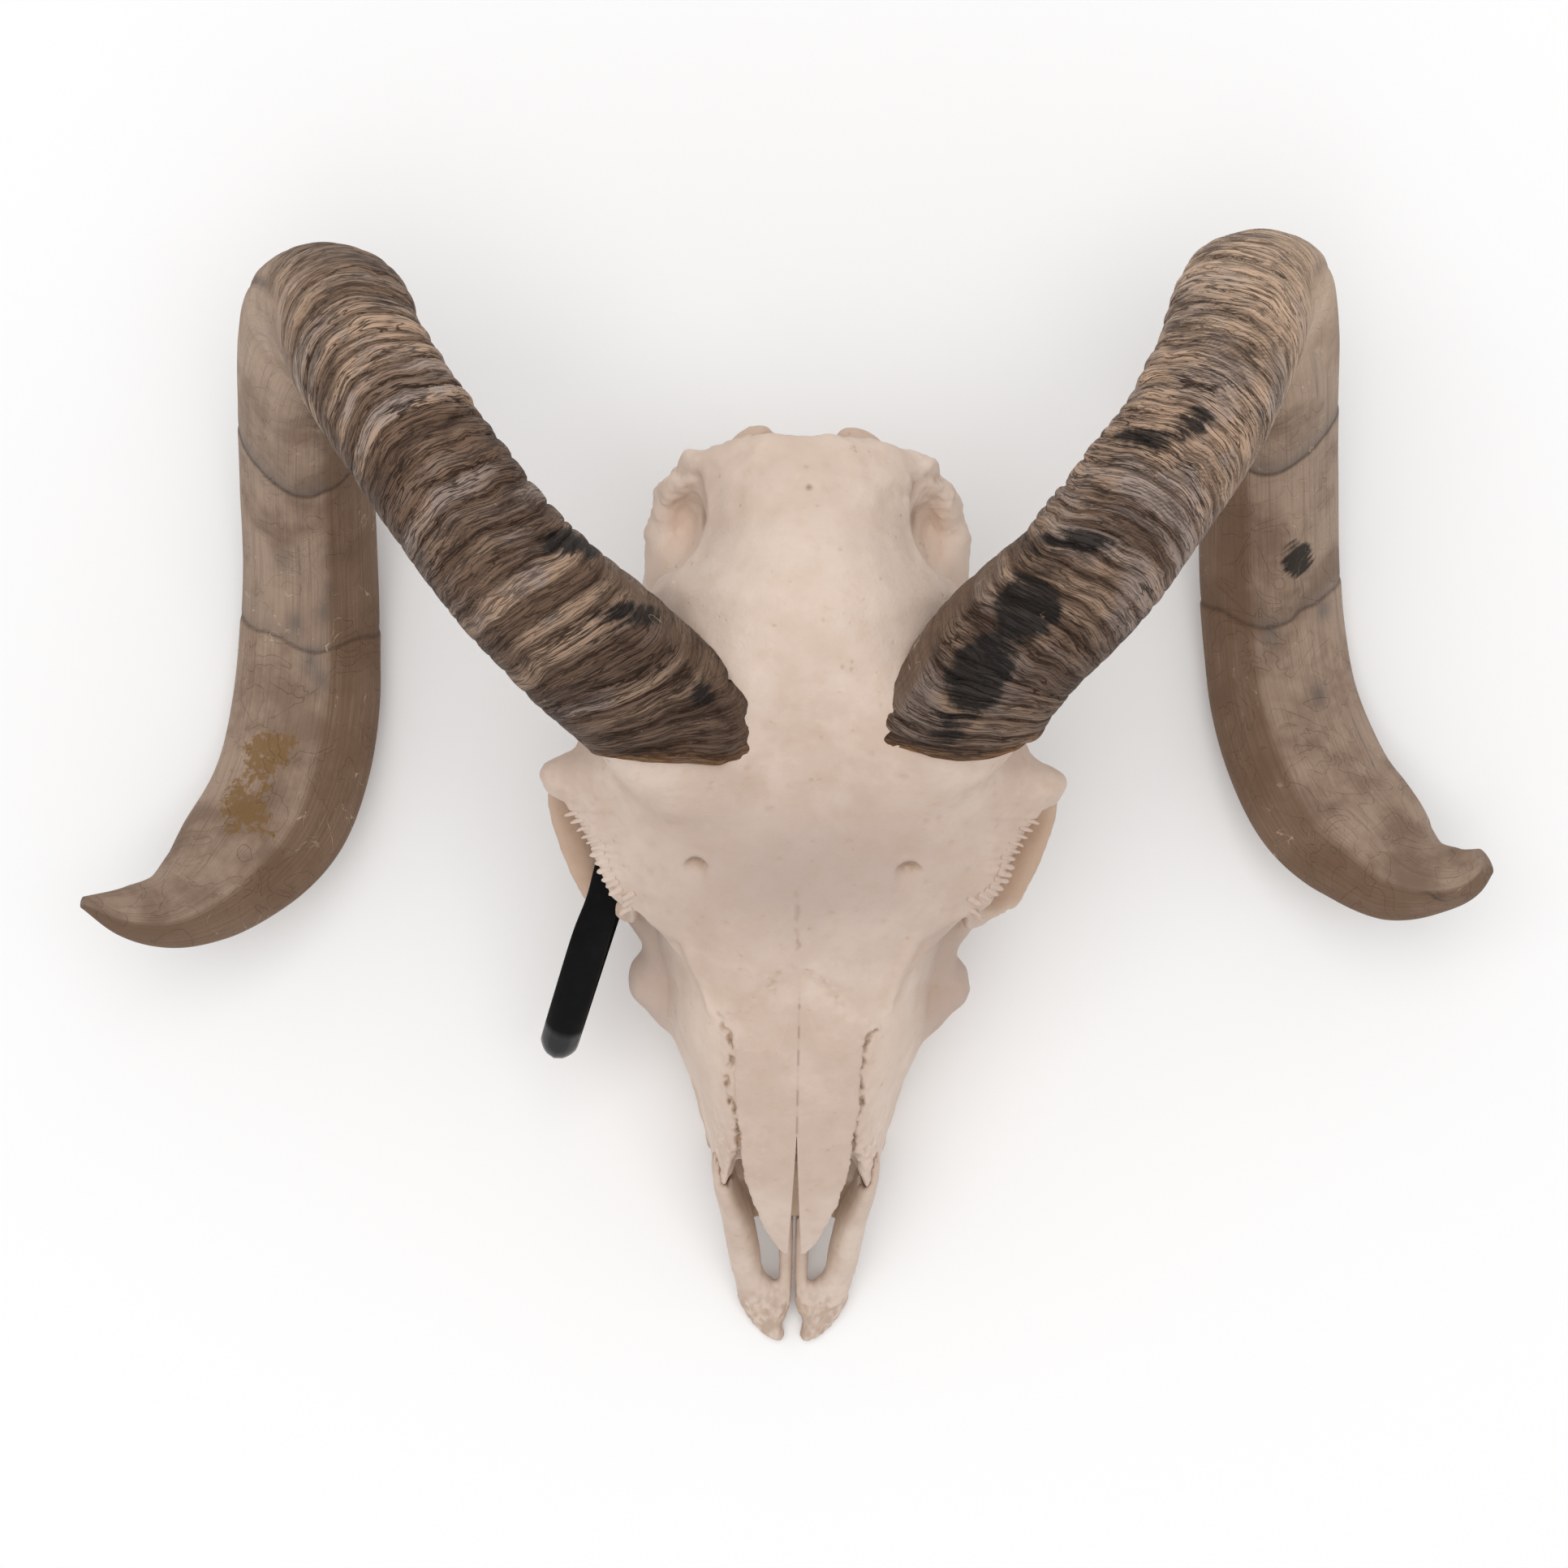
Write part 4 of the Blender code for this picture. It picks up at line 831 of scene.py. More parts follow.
# A rod's ring at share s from root to tip: its middle runs straight, its radius falls from the root's to the
# tip's and closes as the square root of the rest at the end.
def browPiece():
    look = brow
    tips = np.array(look["tips"])
    tipY, free = tips[:, 1], tips[:, 2]
    lean = np.where(tipY < -27, 0.55, 0.30) * np.where(tipY < -33, 1.4, 1.0)
    ahead = unit(np.column_stack([np.sign(tips[:, 0]), -lean]))
    root = tips[:, :2] - ahead * look["inward"]
    rootZ = onSkull(root)[:, 2]
    edgeZ = onSkull(tips[:, :2] - ahead * (free + 0.3)[:, None])[:, 2]
    slope = np.clip((edgeZ - rootZ) / np.maximum(look["inward"] - free - 0.3, 0.5), -0.9, 0.0)
    share = np.linspace(0, 1, look["rings"])
    reach = look["inward"] * share
    middle = root[:, None] + ahead[:, None] * reach[None, :, None]
    low = look["sunk"] + 0.35 * (tipY[:, None] < -30)
    height = rootZ[:, None] - low + slope[:, None] * reach - 0.05 * np.sin(share * math.pi)
    first, last = look["thickness"]
    thick = (first + (last - first) * share) * np.clip(free / 2.6, 0.65, 1.08)[:, None]
    thick = thick * np.sqrt(ramp(share, 1.02, -0.22))
    turn = roundTurn(look["around"])
    across = np.column_stack([-ahead[:, 1], ahead[:, 0]])
    flat = middle[:, :, None] + across[:, None, None] * np.cos(turn)[:, None] * thick[:, :, None, None]
    z = height[:, :, None] + np.sin(turn) * thick[:, :, None]
    rods = np.concatenate([flat, z[..., None]], axis=3)
    points = rods.reshape(-1, 3)
    wave = np.column_stack([grain(points, 1.3, seed) for seed in (61, 62, 63)])
    piece = joined([skinOver("brow_teeth", rod) for rod in (points + 0.16 * wave).reshape(rods.shape)])
    boneValues(piece.data, grey=0.15)
    finishPiece(piece, "bone")


browPiece()


# The cheek teeth, six a side, front to back.
cheekTeeth = {
    "first": -100.75,               # y of the row's front end
    "lengths": (7.5, 8.5, 9.5, 13.0, 15.5, 17.0),
    "widths": (8.0, 9.5, 11.0, 13.0, 14.0, 13.0),
    "rowX": (20.8, 33.0),
    "slope": math.radians(10),
    "sink": 0.5,
    "crown": 19.0,
    "margin": 0.25,                 # by which a crown stands out of the solid's block
    "around": 72,
    "down": 16,                     # rings down the sides
    "across": 12,                   # rings over the chewing face
}


# A crown's outline at angle t is a rounded rectangle, 0.5 w |cos t|^0.6 by 0.5 l |sin t|^0.6, drawn in
# between its lobes. Its chewing face falls and rises twice from the edge to the middle.
def toothRings(middle, width, length, lobes, seed, side):
    look = cheekTeeth
    turn = roundTurn(look["around"])
    c, s = np.cos(turn), np.sin(turn)
    outlineY = squared(s, 0.6) * length / 2
    lap = outlineY / length * 2 * math.pi * lobes
    between = np.cos(lap + (math.pi if lobes == 1 else 0))
    draw = 1 - 0.075 * np.abs(c) ** 0.5 * (0.5 + 0.5 * between) * (1.35 if lobes == 2 else 0.6)
    rib = 0.035 * np.abs(c) * np.cos(2 * lap) * (c * side > 0)
    outlineX = squared(c, 0.6) * width / 2 * (draw + rib)
    down = np.linspace(1, 0, look["down"])
    inward = np.linspace(1, 0.05, look["across"])[1:]
    scale = np.concatenate([1 - 0.10 * down**2, inward])
    cusp = (np.cos(inward * 2 * math.pi * 1.6) - 1) * -0.5 + 0.5 * (1 - inward)
    rise = np.concatenate([look["crown"] * down, cusp * 1.1])
    ridged = np.arange(len(scale)) >= look["down"]
    x = scale[:, None] * outlineX
    y = scale[:, None] * outlineY
    z = rise[:, None] + 0.25 * np.cos(lap) * ridged[:, None]
    points = np.stack([x, y, z], axis=2)
    flat = points.reshape(-1, 3)
    wave = np.column_stack([grain(flat, 1.8, seed + axis) for axis in range(3)])
    x, y, z = np.moveaxis((flat + 0.10 * wave).reshape(points.shape), 2, 0)
    tilt = look["slope"]
    turned = [x, y * math.cos(tilt) - z * math.sin(tilt), y * math.sin(tilt) + z * math.cos(tilt)]
    return np.stack(turned, axis=2) + np.array(middle)


def teethPiece(name, side):
    look = cheekTeeth
    place = look["first"]
    first, last = look["rowX"]
    members = []
    for number, (length, width) in enumerate(zip(look["lengths"], look["widths"])):
        middle = place + length / 2
        along = middle - look["first"]
        x = side * (first + (last - first) * (along / sum(look["lengths"])))
        z = along * math.tan(look["slope"]) - look["sink"]
        rings = toothRings((x, middle, z), width + look["margin"] * 2, length + 0.2, 1 if number < 3 else 2,
                           70 + number * 5, side)
        rings[:, :, 2] = np.maximum(rings[:, :, 2], 0.02)
        members.append(skinOver(f"cheek_teeth_{name}", rings))
        place += length
    piece = joined(members)
    stain = clamped(1.3 * layers(pointsOf(piece.data), 3.0, 3, 91) + 0.1)
    boneValues(piece.data, hollow=0.25 * stain, amber=0.55 * stain, seam=0.25 * clamped(stain - 0.6))
    finishPiece(piece, "bone")


# The two nasal bones, each a bowed plate. y, half width of the bed, top, thickness of both together.
nasals = {
    "rows": (
        (-129.0, 3.6, 57.5, 2.0), (-126.0, 6.4, 60.0, 2.4), (-118.0, 10.4, 66.0, 2.8),
        (-110.0, 13.4, 72.0, 3.0), (-100.0, 16.0, 79.6, 3.2), (-88.0, 17.6, 88.5, 3.4),
        (-75.0, 18.8, 96.6, 3.4), (-63.0, 19.4, 103.0, 3.4), (-55.0, 13.0, 107.5, 3.4),
    ),
    "outline": (  # y and the half width that shows
        (-129.0, 3.2), (-126.0, 6.0), (-118.0, 10.2), (-110.0, 13.2), (-102.0, 14.8), (-96.0, 15.3),
        (-91.0, 16.1), (-86.0, 17.0), (-81.0, 17.2), (-76.0, 17.3), (-70.0, 17.4), (-66.0, 17.6),
        (-62.0, 15.0), (-58.5, 10.5), (-55.0, 6.5),
    ),
    "dashes": ((-53, -49), (-75.5, -70.5), (-86.5, -81.5), (-68, -64), (-60, -58), (-94.5, -89)),
    "knots": (-80.5, -88.0, -90.4, -92.6),
    "arch": 3.2,            # how far the outer edges lie below the middle
    "lift": 0.30,           # above the skull's skin round it
    "slit": (0.01, 1.6),    # half gap between the two, at the back and at the tips
    "overlap": 0.3,
    "ragged": 0.55,         # how far the outer edge wanders
    "along": 330,
    "across": 46,
}


# At each place along Y the plate runs from its inner to its outer edge, drops below the middle by the arch
# times the square of the share across, and comes back underneath at its thickness, with rounded edges.
# Behind, it dips under the skull's skin, where the bones have grown together.
def nasalPiece(name, side):
    look = nasals
    places = np.linspace(look["outline"][0][0], look["outline"][-1][0], look["along"])
    bed, top, thick = (column[:, None] for column in smoothRows(look["rows"], places).T[1:])
    half = smoothRows(look["outline"], places)[:, 1:]
    ahead = ramp(places, -94.5, -34)[:, None]
    back, front = look["slit"]
    inner = back + (front - back) * ahead**1.25
    if side > 0:  # where the two have grown together, the left one reaches a little over the right one
        inner = inner - look["overlap"] * clamped(1 - ahead / 0.02)
    edge = np.column_stack([places, np.full(len(places), 7.0 * side), np.zeros(len(places))])
    half = half + (look["ragged"] * layers(edge, 2.3, 3, 3) + 0.25 * layers(edge, 0.8, 2, 8) - 0.15)[:, None]
    turn = roundTurn(look["across"] * 2)
    x = inner + np.maximum(half - inner, 0.6) * (0.5 - 0.5 * np.cos(turn))
    bow = look["arch"] * np.clip(np.abs(x) / np.maximum(bed, 6.0), 0, 1.2) ** 2
    outerCorner = clamped((np.maximum(half, 1.0) - x) / 0.40)
    innerCorner = ramp(x, inner, 0.06 + 0.30 * ahead)
    corner = np.sqrt(np.minimum(outerCorner, innerCorner))
    sink = 1.05 * ramp(places, -82, 25)[:, None]
    upper = top - bow + look["lift"] - sink + (0.02 if side > 0 else 0.0)
    lower = upper - thick
    z = (upper + lower) / 2 + np.where(np.sin(turn) >= 0, 1, -1) * (upper - lower) / 2 * corner
    rings = np.stack([x * side, np.broadcast_to(places[:, None], x.shape), z], axis=2)
    flat = rings.reshape(-1, 3)
    knots = nearAny(flat, [(side * 0.3, place, 90) for place in look["knots"]], (1.1, 1.2, 40))
    rough = 0.05 + 0.12 * ramp(flat[:, 1], -118, -8)
    lift = boneRise(flat) + 0.28 * knots + rough * layers(flat, 1.6, 2, 9)
    rings[:, :, 2] += lift.reshape(x.shape)
    piece = skinOver(f"nasal_bone_{name}", rings)
    mesh = piece.data
    x, y, z = pointsOf(mesh).T
    dashes = sum(ramp(y, low, 0.6) * ramp(y, high, -0.6) for low, high in look["dashes"])
    seam = (0.10 + 0.42 * dashes) * bell(np.abs(x), 0.30) * (y > -94.5)
    # Painted shade: tan on the faces turned down.
    boneValues(mesh, hollow=0.6 * clamped(-normalsOf(mesh)[:, 2] * 2), grey=0.15, seam=seam)
    finishPiece(piece, "bone", f"nasal_{name}")


# The front jaw bones.
frontJaw = {
    "end": (-138.0, 17.3, 22.0),    # y where the rounded ends begin, half the width across both there, depth
    "tipPlace": 4.0,                # how far the lowest points lie from the middle
    "spacing": 0.6,
    "rounds": 14,
    "triangles": 90000,
    "jointSwell": 0.42,
}


# The end is drawn back, column by column, to a rounded outline: start - depth sqrt(1 - (x / half)^2).
def drawnBack(wide, y):
    start, half, depth = frontJaw["end"]
    columns = np.linspace(0.6, half + 1.2, 37)
    own = np.array([np.min(y[np.abs(wide - column) < 0.7], initial=start - 1) for column in columns]) - start
    own = np.convolve(np.pad(own, 1, mode="edge"), (0.25, 0.5, 0.25), mode="valid")
    wanted = -depth * np.sqrt(np.clip(1 - (columns / half) ** 2, 0.02, 1))
    wanted += 0.45 * np.clip(frontJaw["tipPlace"] - columns, 0, 9) ** 2
    share = np.interp(wide, columns, np.clip(wanted / own, 0.05, 1.06))
    return np.where(y < start, start + (y - start) * share, y)


def frontJawPiece(name, side):
    look = frontJaw
    piece = mergedCopy(f"front_jaw_{name}", f"premaxilla_{name}", 0.0)
    reworked(piece, "REMESH", mode="VOXEL", voxel_size=look["spacing"] * millimetre)
    mesh = piece.data
    dropCrumbs(mesh)
    placePoints(mesh, relax(pointsOf(mesh), edgesOf(mesh), look["rounds"]))
    points, normals = pointsOf(mesh), normalsOf(mesh)
    tip = ramp(points[:, 1], -138, -8)
    rise = 0.10 * layers(points, 5.0, 3, 11) + (0.05 + 0.10 * tip) * layers(points * (1, 0.22, 1), 1.5, 2, 13)
    rise += 0.42 * tip**2 * layers(points * (1, 0.45, 1), 1.1, 2, 17)
    rise = np.where(points[:, 2] < 1.5, np.minimum(rise, 0), rise)
    points = points + normals * rise[:, None]
    points[:, 2] = np.maximum(points[:, 2], 0.0)
    points += normals * (look["jointSwell"] * ramp(points[:, 1], -122, 8))[:, None]
    wide = points[:, 0] * side
    points[:, 1] = drawnBack(wide, points[:, 1])
    points[:, 0] += side * (1.2 * bell(points[:, 1] + 153.5, 3.4) * ramp(wide, 6, -4))
    placePoints(mesh, points)
    thinTo(piece, look["triangles"])
    mesh = piece.data
    points, normals = pointsOf(mesh), normalsOf(mesh)
    wide, y = np.abs(points[:, 0]), points[:, 1]
    # Painted shade: tan on faces turned towards the middle and on the thin rods there; the tips' tan, grey
    # and amber are their own colour.
    inside = clamped((-side * normals[:, 0] - 0.1) * 1.4) * ramp(y, -142, 10) * (wide > 5)
    tip = ramp(y, -143, -6) * clamped(0.5 + 1.5 * layers(points * (1, 0.4, 1), 1.2, 2, 17))
    rods = ramp(wide, 3.5, -1.5)
    boneValues(mesh, hollow=0.65 * inside + 0.25 * tip + 0.35 * rods, grey=0.35 * tip, amber=0.10 * tip,
               seam=0.16 * tip)
    finishPiece(piece, "bone", f"premaxilla_{name}")


# Horns. Rows of x, y, z, half width across the curl and half depth towards its middle. Stains and moss are
# x, y, z, reach in x and y, and strength; dark spots, laid in as painted shade, are x and y.
horns = {
    "left": (
        (23.0, 5.5, 120.0, 19.0, 19.0), (33.5, 16.7, 133.0, 20.0, 22.0), (42.5, 26.4, 142.0, 20.0, 24.0),
        (52.7, 38.1, 150.0, 19.5, 24.5), (69.8, 53.5, 157.0, 18.8, 24.0), (83.9, 71.4, 158.0, 18.2, 23.0),
        (97.0, 89.3, 153.0, 17.8, 22.0), (106.7, 108.2, 142.0, 17.8, 21.0), (113.8, 124.7, 126.0, 17.8, 20.0),
        (119.3, 130.6, 106.0, 18.0, 18.6), (124.3, 122.6, 80.0, 18.3, 17.6), (127.1, 105.1, 55.0, 18.8, 16.5),
        (129.5, 83.1, 33.2, 19.3, 15.5), (131.3, 63.1, 19.6, 19.8, 14.8), (133.7, 44.0, 13.0, 20.3, 14.0),
        (136.6, 27.0, 12.9, 20.9, 13.2), (141.5, 11.6, 16.8, 21.4, 12.5), (148.4, -2.6, 24.0, 21.2, 11.5),
        (157.3, -12.6, 33.0, 19.2, 10.5), (166.8, -20.7, 42.0, 14.8, 9.5), (174.7, -22.8, 50.0, 10.0, 8.0),
        (182.3, -21.3, 57.0, 7.0, 6.5), (186.9, -18.3, 61.0, 4.0, 4.0),
    ),
    "right": (
        (-19.5, 1.0, 120.0, 19.5, 19.0), (-30.5, 12.2, 133.0, 21.0, 22.0), (-40.9, 24.8, 142.0, 20.6, 24.0),
        (-54.4, 35.2, 150.0, 20.2, 24.5), (-73.6, 51.2, 157.0, 19.2, 24.0), (-89.5, 69.3, 158.0, 18.5, 23.0),
        (-103.2, 86.7, 153.0, 18.0, 22.0), (-115.5, 103.0, 142.0, 17.6, 21.0),
        (-123.8, 117.3, 126.0, 17.8, 20.0), (-130.8, 121.4, 106.0, 18.2, 18.6),
        (-136.4, 113.4, 80.0, 18.3, 17.6), (-138.9, 97.9, 55.0, 18.5, 16.5), (-140.1, 77.9, 33.2, 18.8, 15.5),
        (-140.3, 57.9, 19.6, 19.0, 14.8), (-140.8, 38.9, 13.0, 20.0, 14.0), (-141.5, 21.0, 12.9, 20.9, 13.2),
        (-144.0, 3.4, 16.8, 21.2, 12.5), (-148.7, -11.2, 24.0, 21.0, 11.5),
        (-156.8, -23.1, 33.0, 18.8, 10.5), (-165.8, -32.7, 42.0, 14.6, 9.0), (-174.9, -37.8, 51.0, 10.5, 7.5),
        (-184.9, -38.2, 59.0, 7.0, 5.5), (-195.9, -35.7, 66.0, 1.6, 1.8),
    ),
    "stains": {
        "left": (
            (56, 45, 165, 9, 8, 0.9), (45, 32, 165, 10, 8, 0.8), (41, 22, 150, 11, 8, 0.95),
            (35, 12, 140, 9, 6, 0.75), (84, 88, 170, 13, 6, 0.85), (98, 94, 170, 8, 6, 0.75),
            (70, 62, 170, 14, 5, 0.7), (137, 66, 30, 7, 8, 0.95), (178, -27, 55, 12, 8, 0.6),
            (60, 55, 160, 30, 22, 0.46),
        ),
        "right": (
            (-60, 60, 170, 12, 6, 0.7), (-45, 42, 165, 14, 5, 0.55), (-27, 22, 150, 9, 7, 0.7),
            (-140, 70, 40, 9, 18, 0.4), (-60, 40, 160, 34, 24, 0.36),
        ),
    },
    "moss": {
        "left": (),
        "right": ((-150, 8, 30, 14, 12, 1.0), (-158, -12, 30, 12, 12, 0.9), (-145, -20, 30, 10, 9, 0.5)),
    },
    "dark_spots": {
        "left": ((119, 28), (145, 28), (131, 44), (146, 52), (112, 2)),
        "right": ((-132, 62), (-133, 52.5), (-135, 46), (-139, 32.5), (-146, 60), (-136, 27), (-143, 43)),
    },
    "curlMiddle": (50.0, 88.0),    # y and z of the line that both curl round
    "keel": 0.14,                  # how far the widest place lies towards the outer face
    "root": 28.5,                  # where the sheath begins along its path
    "skew": 0.75,                  # slope of the growth lines at the root
    "lean": 0.36,                  # by how much less the rings slope than the root does
    "ridgedShare": 0.58,           # of the length
    "ridgeHeight": 0.80,           # millimetres
    "ridgesEnd": (0.40, 0.53),     # share of the length over which the fine rings fade out
    "ringGap": (3.0, 8.2),         # least and greatest distance between two fine rings
    "ringCount": 90,
    "ringHeight": 1.35,
    "seams": (0.592, 0.722),       # of the length: growth seams on the smooth part
    "trim": 2.6,                   # how much narrower the root is on its inner side
    "twist": (0.70, 0.88),         # where the outer face turns down towards the tip
    "around": 112,
    "roundness": 20.0,             # radius of the round that the noise reads
    "ringsRidged": 610,
    "ringsSmooth": 262,
    "grooveDepth": 0.62,
    "fineDepth": 0.26,
}


# A ring for each place along the path: wide = sin t + keel sin 2t across the curl and deep = cos t away from
# its middle, times the half width and depth of that place and times one plus the growth. Near the root a
# point's place is moved along by the skew times wide, because growth lines lie askew there.
def hornRings(table, places, growth):
    look = horns
    rows = byLength(table)
    length = rows[-1, 0]
    turn = roundTurn(look["around"]) + math.pi
    wide = (np.sin(turn) + look["keel"] * np.sin(2 * turn)) / (1 + look["keel"] * 0.25)
    deep = np.cos(turn)
    side = math.copysign(1, table[1][0])
    skew = look["skew"] * clamped(1 - places / (length * look["ridgedShare"]))
    along = (places[:, None] + side * skew[:, None] * wide * table[1][3]).ravel()
    path = smoothRows(rows, along)[:, 1:]
    ahead = unit(smoothRows(rows, along + 1)[:, 1:4] - path[:, :3])
    outward = unit((path[:, :3] - (0, *look["curlMiddle"])) * (0, 1, 1))
    low, high = look["twist"]
    down = ramp(along / length, low, high - low)[:, None]
    outward = outward * (1 - down) + np.array((0, 0, -1)) * down
    outward = unit(outward - ahead * np.sum(outward * ahead, axis=1)[:, None])
    across = np.cross(ahead, outward)
    size = (1 + growth * (0.35 + 0.65 * clamped(0.5 + deep))).ravel()
    wide, deep = (np.tile(share, len(places)) for share in (wide, deep))
    points = path[:, :3] + across * (path[:, 3] * size * wide)[:, None]
    points += outward * (path[:, 4] * size * deep)[:, None]
    return points.reshape(len(places), look["around"], 3)


# Thin lines that wander, fork and meet: where a noise, long round the horn and short along it, passes
# through nothing. 1 on a line, falling off to both sides.
def hornLines(flow, length, gap, width, seed):
    return bell(layers(flow * (1 / length, 1 / length, 1 / gap), 1.0, 2, seed), width)


# The relief of a horn at every point of its grid, in millimetres, and the values that colour it. lateral runs
# from -1 on the face towards the skull to 1 on the face away from it.
def hornRelief(flow, lateral, length, side):
    look = horns
    root = look["root"]
    seed = 20 if side > 0 else 60
    place = flow[:, 2]
    share = place / length
    low, high = look["ridgesEnd"]
    fade = clamped((high - share - 0.09 * np.clip(lateral, -0.5, 1)) / (high - low))
    fade = fade * fade * (3 - 2 * fade)
    fade *= 1 - ramp(lateral, 0.80, 0.06) * ramp(share, 0.35, 0.03)

    # Rings: each has its own gap, height and lightness, and wanders and leans with the face it lies on.
    warp = 2.3 * layers(flow * (1, 1, 0.5), 20.0, 3, seed) + 0.55 * grain(flow, 4.5, seed + 5)
    lean = look["lean"] * 20 * lateral * ramp(place, root, 30) + 5.0 * clamped(lateral) ** 2
    bent = place + warp + lean
    chance = np.random.default_rng(seed)
    count = look["ringCount"]
    gaps = chance.uniform(*look["ringGap"], count)
    feet = root - 6 + np.cumsum(gaps)
    order = np.interp(bent, feet, np.arange(count))
    number = np.floor(order).astype(int)
    part = order - number
    tall = chance.uniform(0.35, 1.0, count + 1)[number]
    light = chance.uniform(0.0, 1.0, count + 1)[number]
    patch = grain(np.column_stack([flow[:, :2] / 17, number * 5.7]), 1.0, seed + 9)
    crest = np.interp(part, (0, 0.14, 0.40, 0.72, 1), (0, 0.55, 1.0, 0.80, 0))
    strip = clamped((-lateral - 0.66) / 0.10) * ramp(place, root + 80, -35)
    strip *= clamped(0.75 + 0.9 * layers(flow * (1, 1, 0.25), 6.0, 2, seed + 29))
    strong = np.clip(0.78 - 0.42 * lateral, 0.25, 1.15) * fade * (1 - 0.75 * strip)
    steps = np.concatenate([[0], np.cumsum(chance.uniform(-1, 1, count - 1))]) * 0.12
    relief = look["ringHeight"] * tall * (crest - 0.5) * (0.75 + 0.4 * patch) * strong
    swell = layers(np.column_stack([flow[:, :2] / 60, bent / 13]), 1.0, 2, seed + 3)
    relief += look["ridgeHeight"] * np.clip(swell * 1.8, -1, 1) * strong
    relief += 0.25 * np.interp(bent, feet, steps) * fade

    # Grooves: one at the foot of each ring, and bundles of thin lines between them.
    foot = bell(np.minimum(part, 1 - part) * gaps[np.minimum(number + 1, count - 1)], 0.46)
    foot *= clamped(1.5 * patch + 0.9)
    wound = np.column_stack([flow[:, :2], bent])
    bundle = clamped(1.7 * layers(wound * (1 / 34, 1 / 34, 1 / 10), 1.0, 2, seed + 13) + 0.62)
    second = hornLines(wound, 19.0, 2.4, 0.15, seed + 11)
    third = hornLines(wound, 15.0, 1.25, 0.17, seed + 17)
    lines = clamped(0.85 * second * (0.35 + 0.65 * bundle) + 0.6 * third * bundle)
    groove = clamped(np.maximum(foot * (0.45 + 0.55 * bundle), lines) * 1.05) * fade
    groove *= clamped(0.95 - 0.25 * lateral) * (1 - 0.7 * strip)
    relief -= (look["grooveDepth"] * foot + look["fineDepth"] * lines) * strong

    # The root: calmer rings, rough fibres, a knobby lip and a trimmed inner side.
    relief *= 1 - 0.7 * ramp(place, root + 14, -12) * clamped(0.2 - 1.2 * lateral)
    rough = ramp(place, root + 46, -40) * clamped(0.35 - 0.9 * lateral)
    relief += 0.55 * rough * layers(flow, 4.4, 3, seed + 21)
    relief += 0.6 * strip * layers(flow * (1, 1, 0.16), 2.6, 3, seed + 23)
    lip = ramp(place, root + 10, -9)
    relief += lip * (0.7 + 1.7 * layers(flow, 6.0, 2, seed + 25)) * np.clip(0.9 - 0.5 * lateral, 0.3, 1.3)
    if side < 0:  # the knobby inner corner of this horn's root
        corner = bell(lateral + 0.95, 0.45) * ramp(place, root + 26, -12)
        knobs = 2.6 + 2.4 * layers(flow, 4.0, 3, seed + 27)
        relief += corner * knobs * np.clip((place - root + 1) / 7, -0.4, 1)
    relief -= look["trim"] * clamped(-lateral + 0.1) * bell(place - root, 24)

    # The smooth part: slow unevenness, fibres, and the growth seams that cross it, with painted shade in them
    # and beside them towards the root.
    plain = 1 - fade
    relief += (0.10 + 0.16 * plain) * layers(flow * (1, 1, 0.35), 13.0, 3, seed + 15)
    relief += 0.10 * plain * layers(flow * (1, 1, 0.06), 1.6, 2, seed + 19)
    # A dark line and groove along the keel, its darkness painted shade.
    seam = bell(lateral - 0.83, 0.05) * ramp(share, 0.37, 0.03) * ramp(share, 0.57, -0.03)
    seam *= np.tile(np.cos(roundTurn(look["around"]) + math.pi) > -0.05, len(place) // look["around"])
    relief -= 0.5 * seam
    seam *= 0.9 if side < 0 else 0.5
    # Painted shade beside each seam, on its side towards the root.
    shade = np.zeros(len(place))
    for number, spot in enumerate(look["seams"]):
        bowed = np.sqrt((lateral + 0.15) ** 2 + (0.30 if number == 0 else 0.05))
        fold = spot * length - 9.0 * bowed + 6 + 1.6 * layers(flow * (1, 1, 0), 9.0, 2, seed + 30 + number)
        away = place - fold
        seam = np.maximum(seam, bell(away, 0.75) * (0.85 - 0.12 * number))
        shade = np.maximum(shade, np.exp(-np.abs(away + 1.0) / 5.0) * (away < 0) * (0.75 - 0.3 * number))
        relief += 0.24 * np.clip(away / 0.8, -1, 1) * np.exp(-np.abs(away) / 4.0)
        relief -= 0.20 * bell(away, 0.9)

    knots = clamped(layers(flow, 5.0, 3, seed + 41) * 2.6 - 0.2)

    # Lightness, honey colour near the bend and darkness at the root, each stronger on one horn.
    top = bell(share - 0.36, 0.095) * (2.1 if side > 0 else 0.15)
    top += 0.5 * bell(share - 0.24, 0.07) * (side > 0)
    lit = clamped((0.20 + 0.75 * light + 0.35 * patch + 0.35 * top) * (0.35 + 0.75 * crest))
    lit = lit * (1 - 0.6 * bundle * (1 - 0.6 * np.minimum(top, 1.4))) * (1.0 if side > 0 else 0.86)
    honey = bell(share - 0.40, 0.090) * clamped(0.80 + 0.3 * lateral) * (1.0 if side > 0 else 0.45)
    return relief, wound, {
        "groove": clamped(groove + seam * np.maximum(plain, 0.35)),
        "shade": clamped(shade * plain),
        "light": lit,
        "smooth": np.maximum(plain, 0.9 * strip),
        "honey": honey,
        "dark": bell(share, 0.20 if side > 0 else 0.24) * (0.85 if side > 0 else 0.72),
        # The darker inner face and root strip: partly their own brown, partly painted shade.
        "inner": np.maximum(plain * clamped((-lateral - 0.42) / 0.14), strip),
        "knots": lip * knots,
    }


# How strong soft marks are at each point, from their rows of x, y, z, reach in x and y, and strength.
def marksAt(points, rows, deep):
    total = np.zeros(len(points))
    for x, y, z, wide, tall, strength in rows:
        total += strength * near(points, (x, y, z), (wide, tall, deep))
    return clamped(total)


